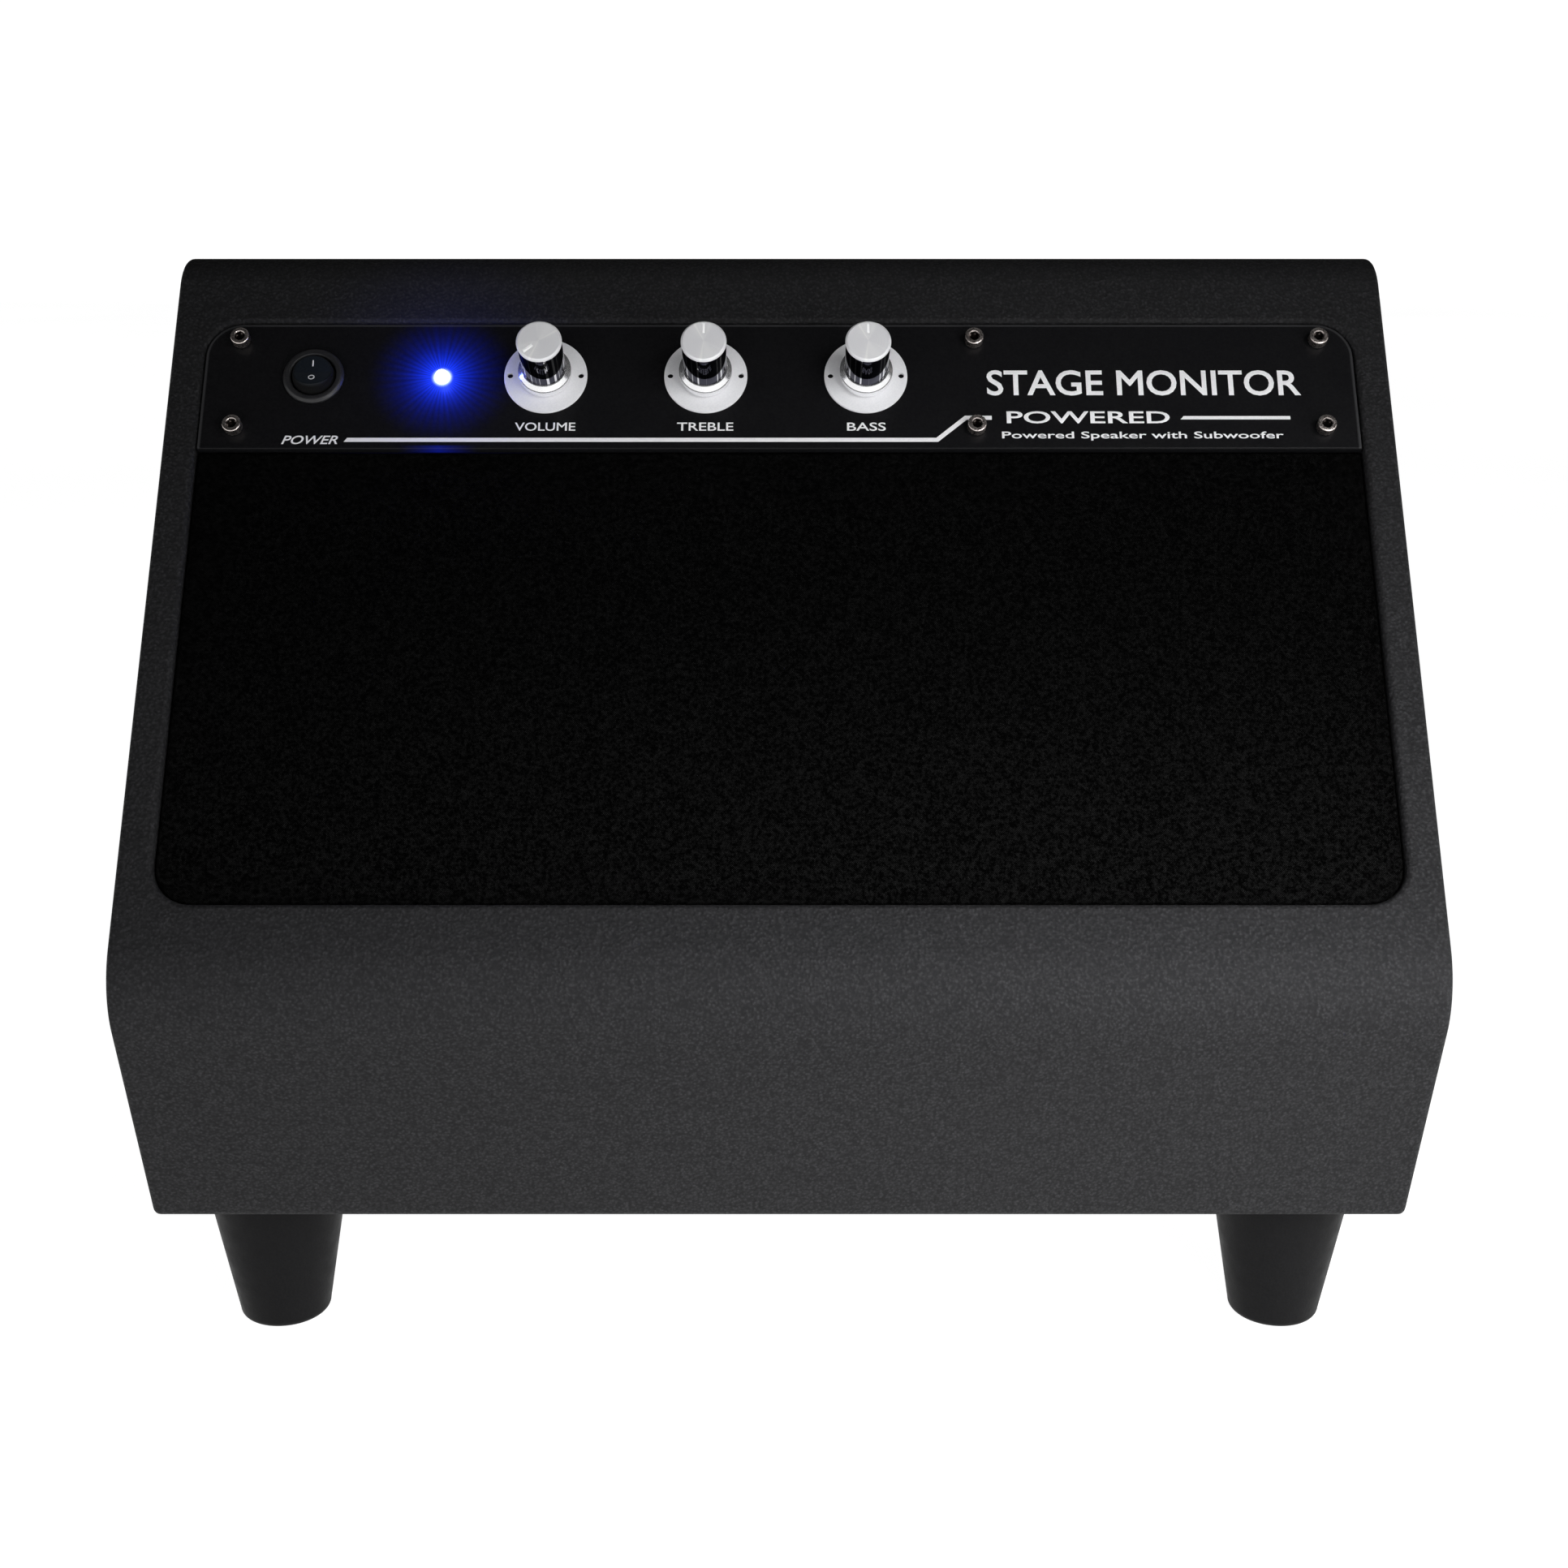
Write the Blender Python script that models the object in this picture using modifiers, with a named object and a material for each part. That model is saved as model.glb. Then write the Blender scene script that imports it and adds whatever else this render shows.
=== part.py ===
"""Powered stage monitor wedge, as an assembly of separate pieces.

Metres, +Z up. X runs to the right seen from the front, -Y is the front. The origin is on the floor,
in the middle of the object's box. Pieces on the sloping face are parented to an empty whose local
axes are x across, y up the slope and z out of the face, so their places read as (x, up, out).
"""

import math

import bmesh
import bpy
from mathutils import Vector

# ---- driving dimensions -------------------------------------------------------------------------
WIDTH = 0.460
DEPTH = 0.300
HEIGHT = 0.397
LEG_HEIGHT = 0.059
FACE_ANGLE = math.radians(55)
KNEE_HEIGHT = 0.159
TOP_FALL = math.radians(3)
CHIN_SETBACK = 0.035
KNEE_RADIUS = 0.034
BROW_RADIUS = 0.020
CORNER_RADIUS = 0.005
EDGE_RADIUS = 0.0025
REAR_STAND_OFF = 0.004

SKIN = 0.001
GAP = 0.0003
BOARD = 0.015
SIDE_BOARD = 0.012

# The recess in the sloping face: one pocket for the control plate, a deeper one for the grille.
RECESS_HALF_WIDTH = 0.2174
RECESS_RADIUS = 0.0144
GRILLE_LOW = 0.0330
PLATE_LOW = 0.2090
PLATE_HIGH = 0.2628
PLATE_POCKET_DEPTH = 0.0038
GRILLE_POCKET_DEPTH = 0.0073

# The control plate, and what stands on it, measured out from its front.
PLATE_FRONT = -0.0005
PLATE_THICKNESS = 0.003
CONTROL_ROW = 0.2392
SWITCH_X = -0.1753
LED_X = -0.1270
KNOB_PITCH = 0.0602
KNOB_NAMES = ("volume", "treble", "bass")
FIRST_KNOB_X = -0.0879
POINTER_ANGLES = (130, 0, 0)
SCREW_COLUMNS = (-0.2037, 0.0736, 0.2037)
SCREW_ROWS = (0.2548, 0.2176)
ROCKER_RADIUS = 0.0081
ROCKER_TILT = math.radians(10)
ROCKER_PIVOT = PLATE_FRONT + 0.0002

# Loudspeakers.
DRIVER_X = 0.110
DRIVER_UP = 0.121
SUBWOOFER_SETBACK = 0.175
LEG_X = 0.1935
FRONT_LEG_SETBACK = 0.075
REAR_LEG_SETBACK = 0.264

# Rear plate.
REAR_PLATE_HEIGHT = 0.235
REAR_PLATE_SIZE = (0.220, 0.150)
REAR_CUTOUT_SIZE = (0.200, 0.130)

COLLECTION_NAME = "stage_monitor_wedge"


# ---- scene and materials ------------------------------------------------------------------------
def clear_scene():
    for obj in list(bpy.data.objects):
        bpy.data.objects.remove(obj, do_unlink=True)


def new_collection(name):
    collection = bpy.data.collections.new(name)
    bpy.context.scene.collection.children.link(collection)
    return collection


def new_material(name, color, roughness, metallic=0.0):
    material = bpy.data.materials.new(name)
    material.use_nodes = True
    shader = material.node_tree.nodes["Principled BSDF"]
    shader.inputs["Base Color"].default_value = (*color, 1.0)
    shader.inputs["Roughness"].default_value = roughness
    shader.inputs["Metallic"].default_value = metallic
    return material


clear_scene()
PARTS = new_collection(COLLECTION_NAME)
CUTTERS = new_collection("cutters")
VINYL = new_material("vinyl", (0.035, 0.036, 0.040), 0.6)
FIBREBOARD = new_material("fibreboard", (0.45, 0.33, 0.20), 0.8)
CLOTH = new_material("grille_cloth", (0.008, 0.008, 0.008), 0.95)
BLACK_FRAME = new_material("black_frame", (0.015, 0.015, 0.015), 0.7)
BLACK_PLATE = new_material("black_plate", (0.010, 0.010, 0.012), 0.25)
STEEL = new_material("steel", (0.55, 0.54, 0.52), 0.3, 1.0)
CHROME = new_material("chrome", (0.85, 0.85, 0.86), 0.08, 1.0)
SPUN_ALUMINIUM = new_material("spun_aluminium", (0.80, 0.80, 0.83), 0.3, 1.0)
SWITCH_PLASTIC = new_material("switch_plastic", (0.02, 0.02, 0.022), 0.4)
ROCKER_PLASTIC = new_material("rocker_plastic", (0.02, 0.03, 0.05), 0.25)
BLUE_LENS = new_material("blue_lens", (0.10, 0.20, 1.0), 0.1)
LEG_PLASTIC = new_material("leg_plastic", (0.015, 0.015, 0.015), 0.5)
PAPER_CONE = new_material("paper_cone", (0.03, 0.03, 0.03), 0.8)
RUBBER = new_material("rubber", (0.02, 0.02, 0.02), 0.7)
MAGNET = new_material("magnet", (0.08, 0.08, 0.08), 0.4, 0.6)
CIRCUIT_BOARD = new_material("circuit_board", (0.02, 0.20, 0.08), 0.5)
COPPER = new_material("copper_winding", (0.60, 0.30, 0.10), 0.4, 0.8)


# ---- shape helpers ------------------------------------------------------------------------------
def place(obj, material, parent=None, location=(0, 0, 0), rotation=(0, 0, 0), cutter=False):
    """Links an object as a sub-part, or as a hidden cutter."""
    (CUTTERS if cutter else PARTS).objects.link(obj)
    obj.parent = parent
    obj.location = location
    obj.rotation_euler = rotation
    if cutter:
        obj.hide_render = True
        obj.display_type = "WIRE"
    elif material:
        obj.data.materials.clear()
        obj.data.materials.append(material)
    return obj


def from_bmesh(name, bm):
    mesh = bpy.data.meshes.new(name)
    bm.to_mesh(mesh)
    bm.free()
    return bpy.data.objects.new(name, mesh)


def smooth(obj, angle=35):
    obj.data.shade_smooth()
    obj.data.set_sharp_from_angle(angle=math.radians(angle))


def box(name, size, material=None, centre=(0, 0, 0), **placing):
    bm = bmesh.new()
    bmesh.ops.create_cube(bm, size=1.0)
    bmesh.ops.scale(bm, vec=size, verts=bm.verts)
    bmesh.ops.translate(bm, vec=centre, verts=bm.verts)
    return place(from_bmesh(name, bm), material, **placing)


def cylinder(name, radius, low, high, material=None, segments=20, centre=(0, 0), **placing):
    """A cylinder along local z, from low to high, about centre."""
    bm = bmesh.new()
    bmesh.ops.create_cone(
        bm, cap_ends=True, segments=segments, radius1=radius, radius2=radius, depth=high - low
    )
    bmesh.ops.translate(bm, vec=(*centre, (low + high) / 2), verts=bm.verts)
    obj = from_bmesh(name, bm)
    smooth(obj)
    return place(obj, material, **placing)


def turned(name, profile, material=None, segments=20, closed=False, **placing):
    """A turned piece: the profile's (radius, height) points run down its outer side."""
    bm = bmesh.new()
    corners = [bm.verts.new((radius, 0, height)) for radius, height in profile]
    for start, end in zip(corners, corners[1:]):
        bm.edges.new((start, end))
    if closed:
        bm.edges.new((corners[-1], corners[0]))
    obj = from_bmesh(name, bm)
    screw = obj.modifiers.new("turn", "SCREW")
    screw.axis = "Z"
    screw.steps = segments
    screw.render_steps = segments
    screw.use_merge_vertices = True
    screw.merge_threshold = 0.00001
    screw.use_smooth_shade = True
    return place(obj, material, **placing)


def extruded(name, outline, low, high, material=None, **placing):
    """A flat outline in local x and y, extruded along local z from low to high."""
    curve = bpy.data.curves.new(name, "CURVE")
    curve.dimensions = "2D"
    curve.fill_mode = "BOTH"
    curve.extrude = (high - low) / 2
    spline = curve.splines.new("POLY")
    spline.points.add(len(outline) - 1)
    for point, (x, y) in zip(spline.points, outline):
        point.co = (x, y, 0, 1)
    spline.use_cyclic_u = True
    guide = bpy.data.objects.new(name + "_curve", curve)
    CUTTERS.objects.link(guide)
    mesh = bpy.data.meshes.new_from_object(guide.evaluated_get(bpy.context.evaluated_depsgraph_get()))
    mesh.name = name
    bpy.data.objects.remove(guide, do_unlink=True)
    bm = bmesh.new()
    bm.from_mesh(mesh)
    bmesh.ops.remove_doubles(bm, verts=bm.verts, dist=0.000001)
    bmesh.ops.dissolve_limit(bm, angle_limit=math.radians(0.5), verts=bm.verts, edges=bm.edges)
    bmesh.ops.translate(bm, vec=(0, 0, (low + high) / 2), verts=bm.verts)
    bmesh.ops.recalc_face_normals(bm, faces=bm.faces)
    bm.to_mesh(mesh)
    bm.free()
    return place(bpy.data.objects.new(name, mesh), material, **placing)


def cut(obj, *cutters, operation="DIFFERENCE"):
    """Adds one exact Boolean for each cutter, which is hidden."""
    for cutter in cutters:
        modifier = obj.modifiers.new(cutter.name, "BOOLEAN")
        modifier.operation = operation
        modifier.solver = "EXACT"
        modifier.object = cutter
    return obj


def arc(centre, radius, start, end, segments):
    """Points on an arc, from one angle in degrees to another."""
    step = (end - start) / segments
    angles = [math.radians(start + step * i) for i in range(segments + 1)]
    return [(centre[0] + radius * math.cos(a), centre[1] + radius * math.sin(a)) for a in angles]


def rounded_rectangle(half_width, low, high, low_radius, high_radius, segments=6):
    """An outline across x, from low to high in y, with a radius for each pair of corners."""
    outline = []
    corners = (
        (half_width, low, low_radius, -90, 1, 1),
        (half_width, high, high_radius, 0, 1, -1),
        (-half_width, high, high_radius, 90, -1, -1),
        (-half_width, low, low_radius, 180, -1, 1),
    )
    for x, y, radius, angle, side, way in corners:
        if radius <= 0:
            outline.append((x, y))
            continue
        centre = (x - side * radius, y + way * radius)
        outline += arc(centre, radius, angle, angle + 90, segments)
    return outline


# ---- the cabinet's side view --------------------------------------------------------------------
def nose_offset():
    """How far behind the knee's sharp corner the rounded knee's foremost point lies."""
    to_chin = Vector((CHIN_SETBACK, LEG_HEIGHT - KNEE_HEIGHT)).normalized()
    to_brow = Vector((math.cos(FACE_ANGLE), math.sin(FACE_ANGLE)))
    half_angle = to_chin.angle(to_brow) / 2
    centre = (to_chin + to_brow).normalized() * KNEE_RADIUS / math.sin(half_angle)
    return centre.x - KNEE_RADIUS


def brow_rise():
    """How far the brow's sharp corner stands above the highest point of its round."""
    tangent = math.tan((FACE_ANGLE + TOP_FALL) / 2)
    return BROW_RADIUS * (tangent * math.sin(TOP_FALL) + math.cos(TOP_FALL) - 1)


KNEE_Y = -DEPTH / 2 - nose_offset()
BACK_Y = DEPTH / 2 - REAR_STAND_OFF
BROW_HEIGHT = HEIGHT + brow_rise()
BROW_Y = KNEE_Y + (BROW_HEIGHT - KNEE_HEIGHT) / math.tan(FACE_ANGLE)
# The top falls a little towards the back.
BACK_HEIGHT = BROW_HEIGHT - (BACK_Y - BROW_Y) * math.tan(TOP_FALL)
# Each corner of the side view: y, z, radius, and the flats that its round is made of.
CORNERS = (
    (KNEE_Y + CHIN_SETBACK, LEG_HEIGHT, CORNER_RADIUS, 2),
    (BACK_Y, LEG_HEIGHT, CORNER_RADIUS, 2),
    (BACK_Y, BACK_HEIGHT, CORNER_RADIUS, 2),
    (BROW_Y, BROW_HEIGHT, BROW_RADIUS, 6),
    (KNEE_Y, KNEE_HEIGHT, KNEE_RADIUS, 6),
)
CHIN, LOW_BACK, HIGH_BACK, BROW, KNEE = range(5)


def inset_corners(inset):
    """The cabinet's sharp corners in (y, z), with every side moved inwards."""
    count = len(CORNERS)
    sides = []
    for i in range(count):
        start = Vector(CORNERS[i][:2])
        along = (Vector(CORNERS[(i + 1) % count][:2]) - start).normalized()
        sides.append((start + Vector((-along.y, along.x)) * inset, along))
    moved = []
    for i in range(count):
        start, along = sides[i - 1]
        other, across = sides[i]
        reach = (other - start).cross(across) / along.cross(across)
        moved.append(start + along * reach)
    return moved


def corner_arcs(inset):
    """For each corner, the points of its rounded stretch, with the side view inset."""
    sharp = inset_corners(inset)
    count = len(sharp)
    arcs = []
    for i in range(count):
        radius = CORNERS[i][2] - inset
        if radius < 0.0002:
            arcs.append([tuple(sharp[i])])
            continue
        back = (sharp[i - 1] - sharp[i]).normalized()
        on = (sharp[(i + 1) % count] - sharp[i]).normalized()
        half_angle = back.angle(on) / 2
        centre = sharp[i] + (back + on).normalized() * radius / math.sin(half_angle)
        start = sharp[i] + back * radius / math.tan(half_angle) - centre
        sweep = 180 - 2 * math.degrees(half_angle)
        first = math.degrees(math.atan2(start.y, start.x))
        arcs.append(arc(centre, radius, first, first + sweep, CORNERS[i][3]))
    return arcs


def side_view(inset):
    return [point for points in corner_arcs(inset) for point in points]


def board_outline(first, last, inner=SKIN + GAP + BOARD):
    """The section of the board between two corners, mitred at both, with half a gap at each end."""
    along = Vector(CORNERS[last][:2]) - Vector(CORNERS[first][:2])
    shift = along.normalized() * GAP
    outline = []
    for inset, order in ((SKIN + GAP, 1), (inner, -1)):
        arcs = corner_arcs(inset)
        face = arcs[first][len(arcs[first]) // 2 :] + arcs[last][: len(arcs[last]) // 2 + 1]
        face[0] = tuple(Vector(face[0]) + shift)
        face[-1] = tuple(Vector(face[-1]) - shift)
        outline += face[::order]
    return outline


# An outline in (y, z) stands up, extruded along x, when its object has this turn.
SIDE_VIEW_TURN = (math.radians(90), 0, math.radians(90))


def round_side_edges(obj, radius, ends, segments=2):
    """Rounds the outline's edges at the given ends of an extruded side view."""
    bm = bmesh.new()
    bm.from_mesh(obj.data)
    edges = [
        edge
        for edge in bm.edges
        if edge.calc_face_angle(0) > math.radians(60)
        and any(all(abs(vert.co.z - end) < 1e-6 for vert in edge.verts) for end in ends)
    ]
    bmesh.ops.bevel(
        bm, geom=edges, offset=radius, segments=segments, profile=0.5, affect="EDGES", clamp_overlap=True
    )
    bm.to_mesh(obj.data)
    bm.free()


def wedge(name, inset, material=None, **placing):
    """The whole cabinet as a solid wedge, inset all round."""
    half = WIDTH / 2 - inset
    obj = extruded(name, side_view(inset), -half, half, material, rotation=SIDE_VIEW_TURN, **placing)
    round_side_edges(obj, EDGE_RADIUS - inset, (-half, half))
    smooth(obj)
    return obj


# ---- frames of reference ------------------------------------------------------------------------
def empty(name, location, rotation=(0, 0, 0), parent=None):
    obj = bpy.data.objects.new(name, None)
    PARTS.objects.link(obj)
    obj.parent = parent
    obj.location = location
    obj.rotation_euler = rotation
    return obj


FACE = empty("face", (0, KNEE_Y, KNEE_HEIGHT), (FACE_ANGLE, 0, 0))
REAR = empty("rear", (0, BACK_Y, REAR_PLATE_HEIGHT), (math.radians(90), 0, math.radians(180)))
UNDERSIDE = empty("underside", (0, KNEE_Y + SUBWOOFER_SETBACK, LEG_HEIGHT), (math.radians(180), 0, 0))


# ---- cabinet ------------------------------------------------------------------------------------
CONTROL_SLOT_X = (-0.191, 0.056)
CONTROL_SLOT_UP = (0.2225, 0.2555)
DRIVER_HOLE = 0.047
SUBWOOFER_HOLE = 0.0925
SUBWOOFER_OPENING = 0.1065
SCREW_PILOT = 0.0023
POCKET_TOP = 0.010
LINING_STEP = PLATE_LOW + 0.001


def recess_cutters(name, expand, lift=0.0):
    """The two pockets of the recess as cutters, wider all round by expand and shallower by lift."""
    half = RECESS_HALF_WIDTH + expand
    radius = RECESS_RADIUS + expand
    plate = rounded_rectangle(half, PLATE_LOW, PLATE_HIGH + expand, 0, radius)
    step = LINING_STEP + (expand - SKIN if expand else GAP)
    grille = rounded_rectangle(half, GRILLE_LOW - expand, step, radius, 0)
    return (
        extruded(name + "_plate", plate, lift - PLATE_POCKET_DEPTH, POCKET_TOP, parent=FACE, cutter=True),
        extruded(name + "_grille", grille, lift - GRILLE_POCKET_DEPTH, POCKET_TOP, parent=FACE, cutter=True),
    )


def make_covering():
    """The vinyl: one thin skin over the whole cabinet, turned down the walls of the recess."""
    core = wedge("core_cutter", SKIN, cutter=True)
    cut(core, *recess_cutters("lining_cutter", SKIN, GAP))
    covering = wedge("vinyl_covering", 0, VINYL)
    rear_half = REAR_PLATE_SIZE[0] / 2 + GAP
    rear_up = REAR_PLATE_SIZE[1] / 2 + GAP
    rear_outline = rounded_rectangle(rear_half, -rear_up, rear_up, 0.006, 0.006, 4)
    rear_opening = extruded("rear_opening", rear_outline, -0.004, 0.004, parent=REAR, cutter=True)
    sub_opening = cylinder(
        "subwoofer_opening", SUBWOOFER_OPENING, -0.004, 0.004, segments=32, parent=UNDERSIDE, cutter=True
    )
    cut(covering, *recess_cutters("recess_cutter", 0), core, rear_opening, sub_opening)
    smooth(covering)


def make_boards():
    pockets = recess_cutters("board_cutter", SKIN + GAP)
    half = WIDTH / 2 - SKIN - GAP
    inner_half = half - SIDE_BOARD
    for name, low, high, end in (
        ("left_side_panel", -half, -inner_half, -half),
        ("right_side_panel", inner_half, half, half),
    ):
        side = extruded(name, side_view(SKIN + GAP), low, high, FIBREBOARD, rotation=SIDE_VIEW_TURN)
        round_side_edges(side, EDGE_RADIUS - SKIN - GAP, (end,))
        cut(side, *pockets)

    boards = {}
    for name, first, last in (
        ("bottom_panel", CHIN, LOW_BACK),
        ("back_panel", LOW_BACK, HIGH_BACK),
        ("top_panel", HIGH_BACK, BROW),
        ("front_baffle", BROW, KNEE),
        ("lower_front_panel", KNEE, CHIN),
    ):
        reach = inner_half - GAP
        outline = board_outline(first, last)
        boards[name] = extruded(name, outline, -reach, reach, FIBREBOARD, rotation=SIDE_VIEW_TURN)

    slot = box(
        "control_slot",
        (CONTROL_SLOT_X[1] - CONTROL_SLOT_X[0], CONTROL_SLOT_UP[1] - CONTROL_SLOT_UP[0], 0.060),
        centre=(sum(CONTROL_SLOT_X) / 2, sum(CONTROL_SLOT_UP) / 2, 0),
        parent=FACE,
        cutter=True,
    )
    holes = [
        cylinder(
            f"driver_hole_{side}",
            DRIVER_HOLE,
            -0.040,
            0.020,
            segments=28,
            centre=(x, DRIVER_UP),
            parent=FACE,
            cutter=True,
        )
        for side, x in (("left", -DRIVER_X), ("right", DRIVER_X))
    ]
    pilots = [
        cylinder(f"pilot_{i}", SCREW_PILOT, -0.0135, 0.0, segments=8, centre=at, parent=FACE, cutter=True)
        for i, at in enumerate(screw_places(), 1)
    ]
    cut(boards["front_baffle"], *pockets, slot, *holes, *pilots)
    cut(
        boards["bottom_panel"],
        cylinder("sub_hole", SUBWOOFER_HOLE, -0.030, 0.010, segments=32, parent=UNDERSIDE, cutter=True),
    )
    cut(boards["back_panel"], box("rear_cutout", (*REAR_CUTOUT_SIZE, 0.060), parent=REAR, cutter=True))


def make_legs():
    """Four tapered round legs, with a small round at the foot."""
    top = LEG_HEIGHT - GAP
    foot_radius = 0.0168
    foot_round = 0.003
    foot = arc((foot_radius - foot_round, foot_round), foot_round, 0, -90, 2)
    profile = [(0, top), (0.0263, top), (0.0268, top - 0.0006), *foot, (0, 0)]
    for end, setback in (("front", FRONT_LEG_SETBACK), ("rear", REAR_LEG_SETBACK)):
        for side, x in (("left", -LEG_X), ("right", LEG_X)):
            turned(f"leg_{end}_{side}", profile, LEG_PLASTIC, 28, location=(x, KNEE_Y + setback, 0))


# ---- grille -------------------------------------------------------------------------------------
CLOTH_FRONT = -0.0025
CLOTH_THICKNESS = 0.0007
CLOTH_WRAP = 0.0005
CLOTH_CLEARANCE = 0.0004


def grille_outline(inset):
    """The grille's outline, square where it meets the control plate, inset all round."""
    edge = CLOTH_CLEARANCE + inset
    radius = RECESS_RADIUS - edge
    return rounded_rectangle(RECESS_HALF_WIDTH - edge, GRILLE_LOW + edge, PLATE_LOW - edge, radius, 0)


def make_grille():
    cloth_back = CLOTH_FRONT - CLOTH_THICKNESS
    skirt = -GRILLE_POCKET_DEPTH + 2 * GAP
    cloth = extruded("grille_cloth", grille_outline(0), skirt, CLOTH_FRONT, CLOTH, parent=FACE)
    hollow = extruded(
        "cloth_hollow", grille_outline(CLOTH_WRAP), skirt - 0.002, cloth_back, parent=FACE, cutter=True
    )
    cut(cloth, hollow)

    rail = 0.014
    frame = extruded(
        "grille_frame",
        grille_outline(CLOTH_WRAP + GAP),
        -GRILLE_POCKET_DEPTH + GAP,
        cloth_back - GAP,
        BLACK_FRAME,
        parent=FACE,
    )
    opening_width = RECESS_HALF_WIDTH - 1.5 * rail
    opening_height = PLATE_LOW - GRILLE_LOW - 2 * rail
    windows = [
        box(
            f"grille_window_{side}",
            (opening_width, opening_height, 0.030),
            centre=(way * (opening_width + rail) / 2, (PLATE_LOW + GRILLE_LOW) / 2, 0),
            parent=FACE,
            cutter=True,
        )
        for side, way in (("left", -1), ("right", 1))
    ]
    cut(frame, *windows)


# ---- control plate ------------------------------------------------------------------------------
def knob_places():
    return [(name, FIRST_KNOB_X + i * KNOB_PITCH) for i, name in enumerate(KNOB_NAMES)]


def screw_places():
    return [(x, up) for up in SCREW_ROWS for x in SCREW_COLUMNS]


SWITCH_HOLE = 0.0102
LED_HOLE = 0.0028
BUSHING_HOLE = 0.0039
PLATE_CLEARANCE = 0.0004


def make_plate():
    edge = PLATE_CLEARANCE
    outline = rounded_rectangle(
        RECESS_HALF_WIDTH - edge, PLATE_LOW, PLATE_HIGH - edge, 0, RECESS_RADIUS - edge
    )
    plate = extruded(
        "control_plate", outline, PLATE_FRONT - PLATE_THICKNESS, PLATE_FRONT, BLACK_PLATE, parent=FACE
    )
    holes = [("switch", SWITCH_X, CONTROL_ROW, SWITCH_HOLE), ("led", LED_X, CONTROL_ROW, LED_HOLE)]
    holes += [(name, x, CONTROL_ROW, BUSHING_HOLE) for name, x in knob_places()]
    holes += [(f"screw_{i}", x, up, SCREW_PILOT) for i, (x, up) in enumerate(screw_places(), 1)]
    for name, x, up, radius in holes:
        segments = 20 if radius > SCREW_PILOT else 10
        hole = cylinder(
            f"plate_hole_{name}",
            radius,
            -0.020,
            0.020,
            segments=segments,
            centre=(x, up),
            parent=FACE,
            cutter=True,
        )
        cut(plate, hole)


def make_plate_screws():
    """Socket-head cap screws: a bevelled head that stands on the plate, and a shank into the board."""
    head, head_height, shank, length = 0.0035, 0.0040, 0.0020, 0.0125
    seat = PLATE_FRONT + GAP
    profile = (
        (0, seat + head_height),
        (head - 0.0004, seat + head_height),
        (head, seat + head_height - 0.0004),
        (head, seat),
        (shank, seat),
        (shank, seat - length),
        (0, seat - length),
    )
    for i, (x, up) in enumerate(screw_places(), 1):
        screw = turned(f"plate_screw_{i}", profile, STEEL, 14, parent=FACE, location=(x, up, 0))
        socket = cylinder(
            f"hex_socket_{i}",
            0.00173,
            seat + 0.0018,
            seat + 0.006,
            segments=6,
            parent=FACE,
            location=(x, up, 0),
            cutter=True,
        )
        cut(screw, socket)


def make_power_switch():
    front = PLATE_FRONT
    housing = (
        (0, front - 0.0070),
        (0.0085, front - 0.0070),
        (0.0085, front + 0.0017),
        (0.0090, front + 0.0022),
        (0.0106, front + 0.0022),
        (0.0115, front + 0.0013),
        (0.0115, front + GAP),
        (0.0098, front + GAP),
        (0.0098, front - 0.0160),
        (0, front - 0.0160),
    )
    place_on_face = {"parent": FACE, "location": (SWITCH_X, CONTROL_ROW, 0)}
    turned("power_switch_housing", housing, SWITCH_PLASTIC, 20, **place_on_face)

    pivot = empty("power_switch_pivot", (SWITCH_X, CONTROL_ROW, ROCKER_PIVOT), (-ROCKER_TILT, 0, 0), FACE)
    bm = bmesh.new()
    bmesh.ops.create_uvsphere(bm, u_segments=20, v_segments=12, radius=ROCKER_RADIUS)
    rocker = place(from_bmesh("power_switch_rocker", bm), ROCKER_PLASTIC, parent=pivot)
    smooth(rocker)
    # The rocker's top is a shallow valley, so that the half pressed in lies level with the plate.
    valley = 0.0030
    reach = 0.012
    rise = valley + reach * math.tan(ROCKER_TILT)
    outline = ((0, valley), (reach, rise), (reach, 0.020), (-reach, 0.020), (-reach, rise))
    top = extruded("rocker_top", outline, -0.012, 0.012, parent=pivot, rotation=SIDE_VIEW_TURN, cutter=True)
    base = box("rocker_base", (0.020, 0.020, 0.010), centre=(0, 0, -0.0100), parent=pivot, cutter=True)
    cut(rocker, top, base)


def make_led():
    """A 5 mm lamp: a domed lens through the plate, with its flange behind it."""
    radius = 0.0025
    dome = arc((0, PLATE_FRONT + 0.0009), radius, 90, 0, 3)
    back = PLATE_FRONT - PLATE_THICKNESS - GAP
    profile = (
        (0, dome[0][1]),
        *dome[1:],
        (radius, back),
        (0.0029, back),
        (0.0029, back - 0.001),
        (0.0012, back - 0.001),
        (0.0012, BOARD_FRONT + GAP),
        (0, BOARD_FRONT + GAP),
    )
    turned("power_led", profile, BLUE_LENS, 12, parent=FACE, location=(LED_X, CONTROL_ROW, 0))


SCALE_DISC_RADIUS = 0.01565
SCALE_DISC_LOW = PLATE_FRONT + GAP
SCALE_DISC_HIGH = PLATE_FRONT + 0.0013
SCALE_PIP_REACH = 0.0133
SHAFT_RADIUS = 0.0030
BOARD_FRONT = -0.0123
KNOB_HIGH = PLATE_FRONT + 0.0246
CAP_HIGH = PLATE_FRONT + 0.0263


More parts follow.
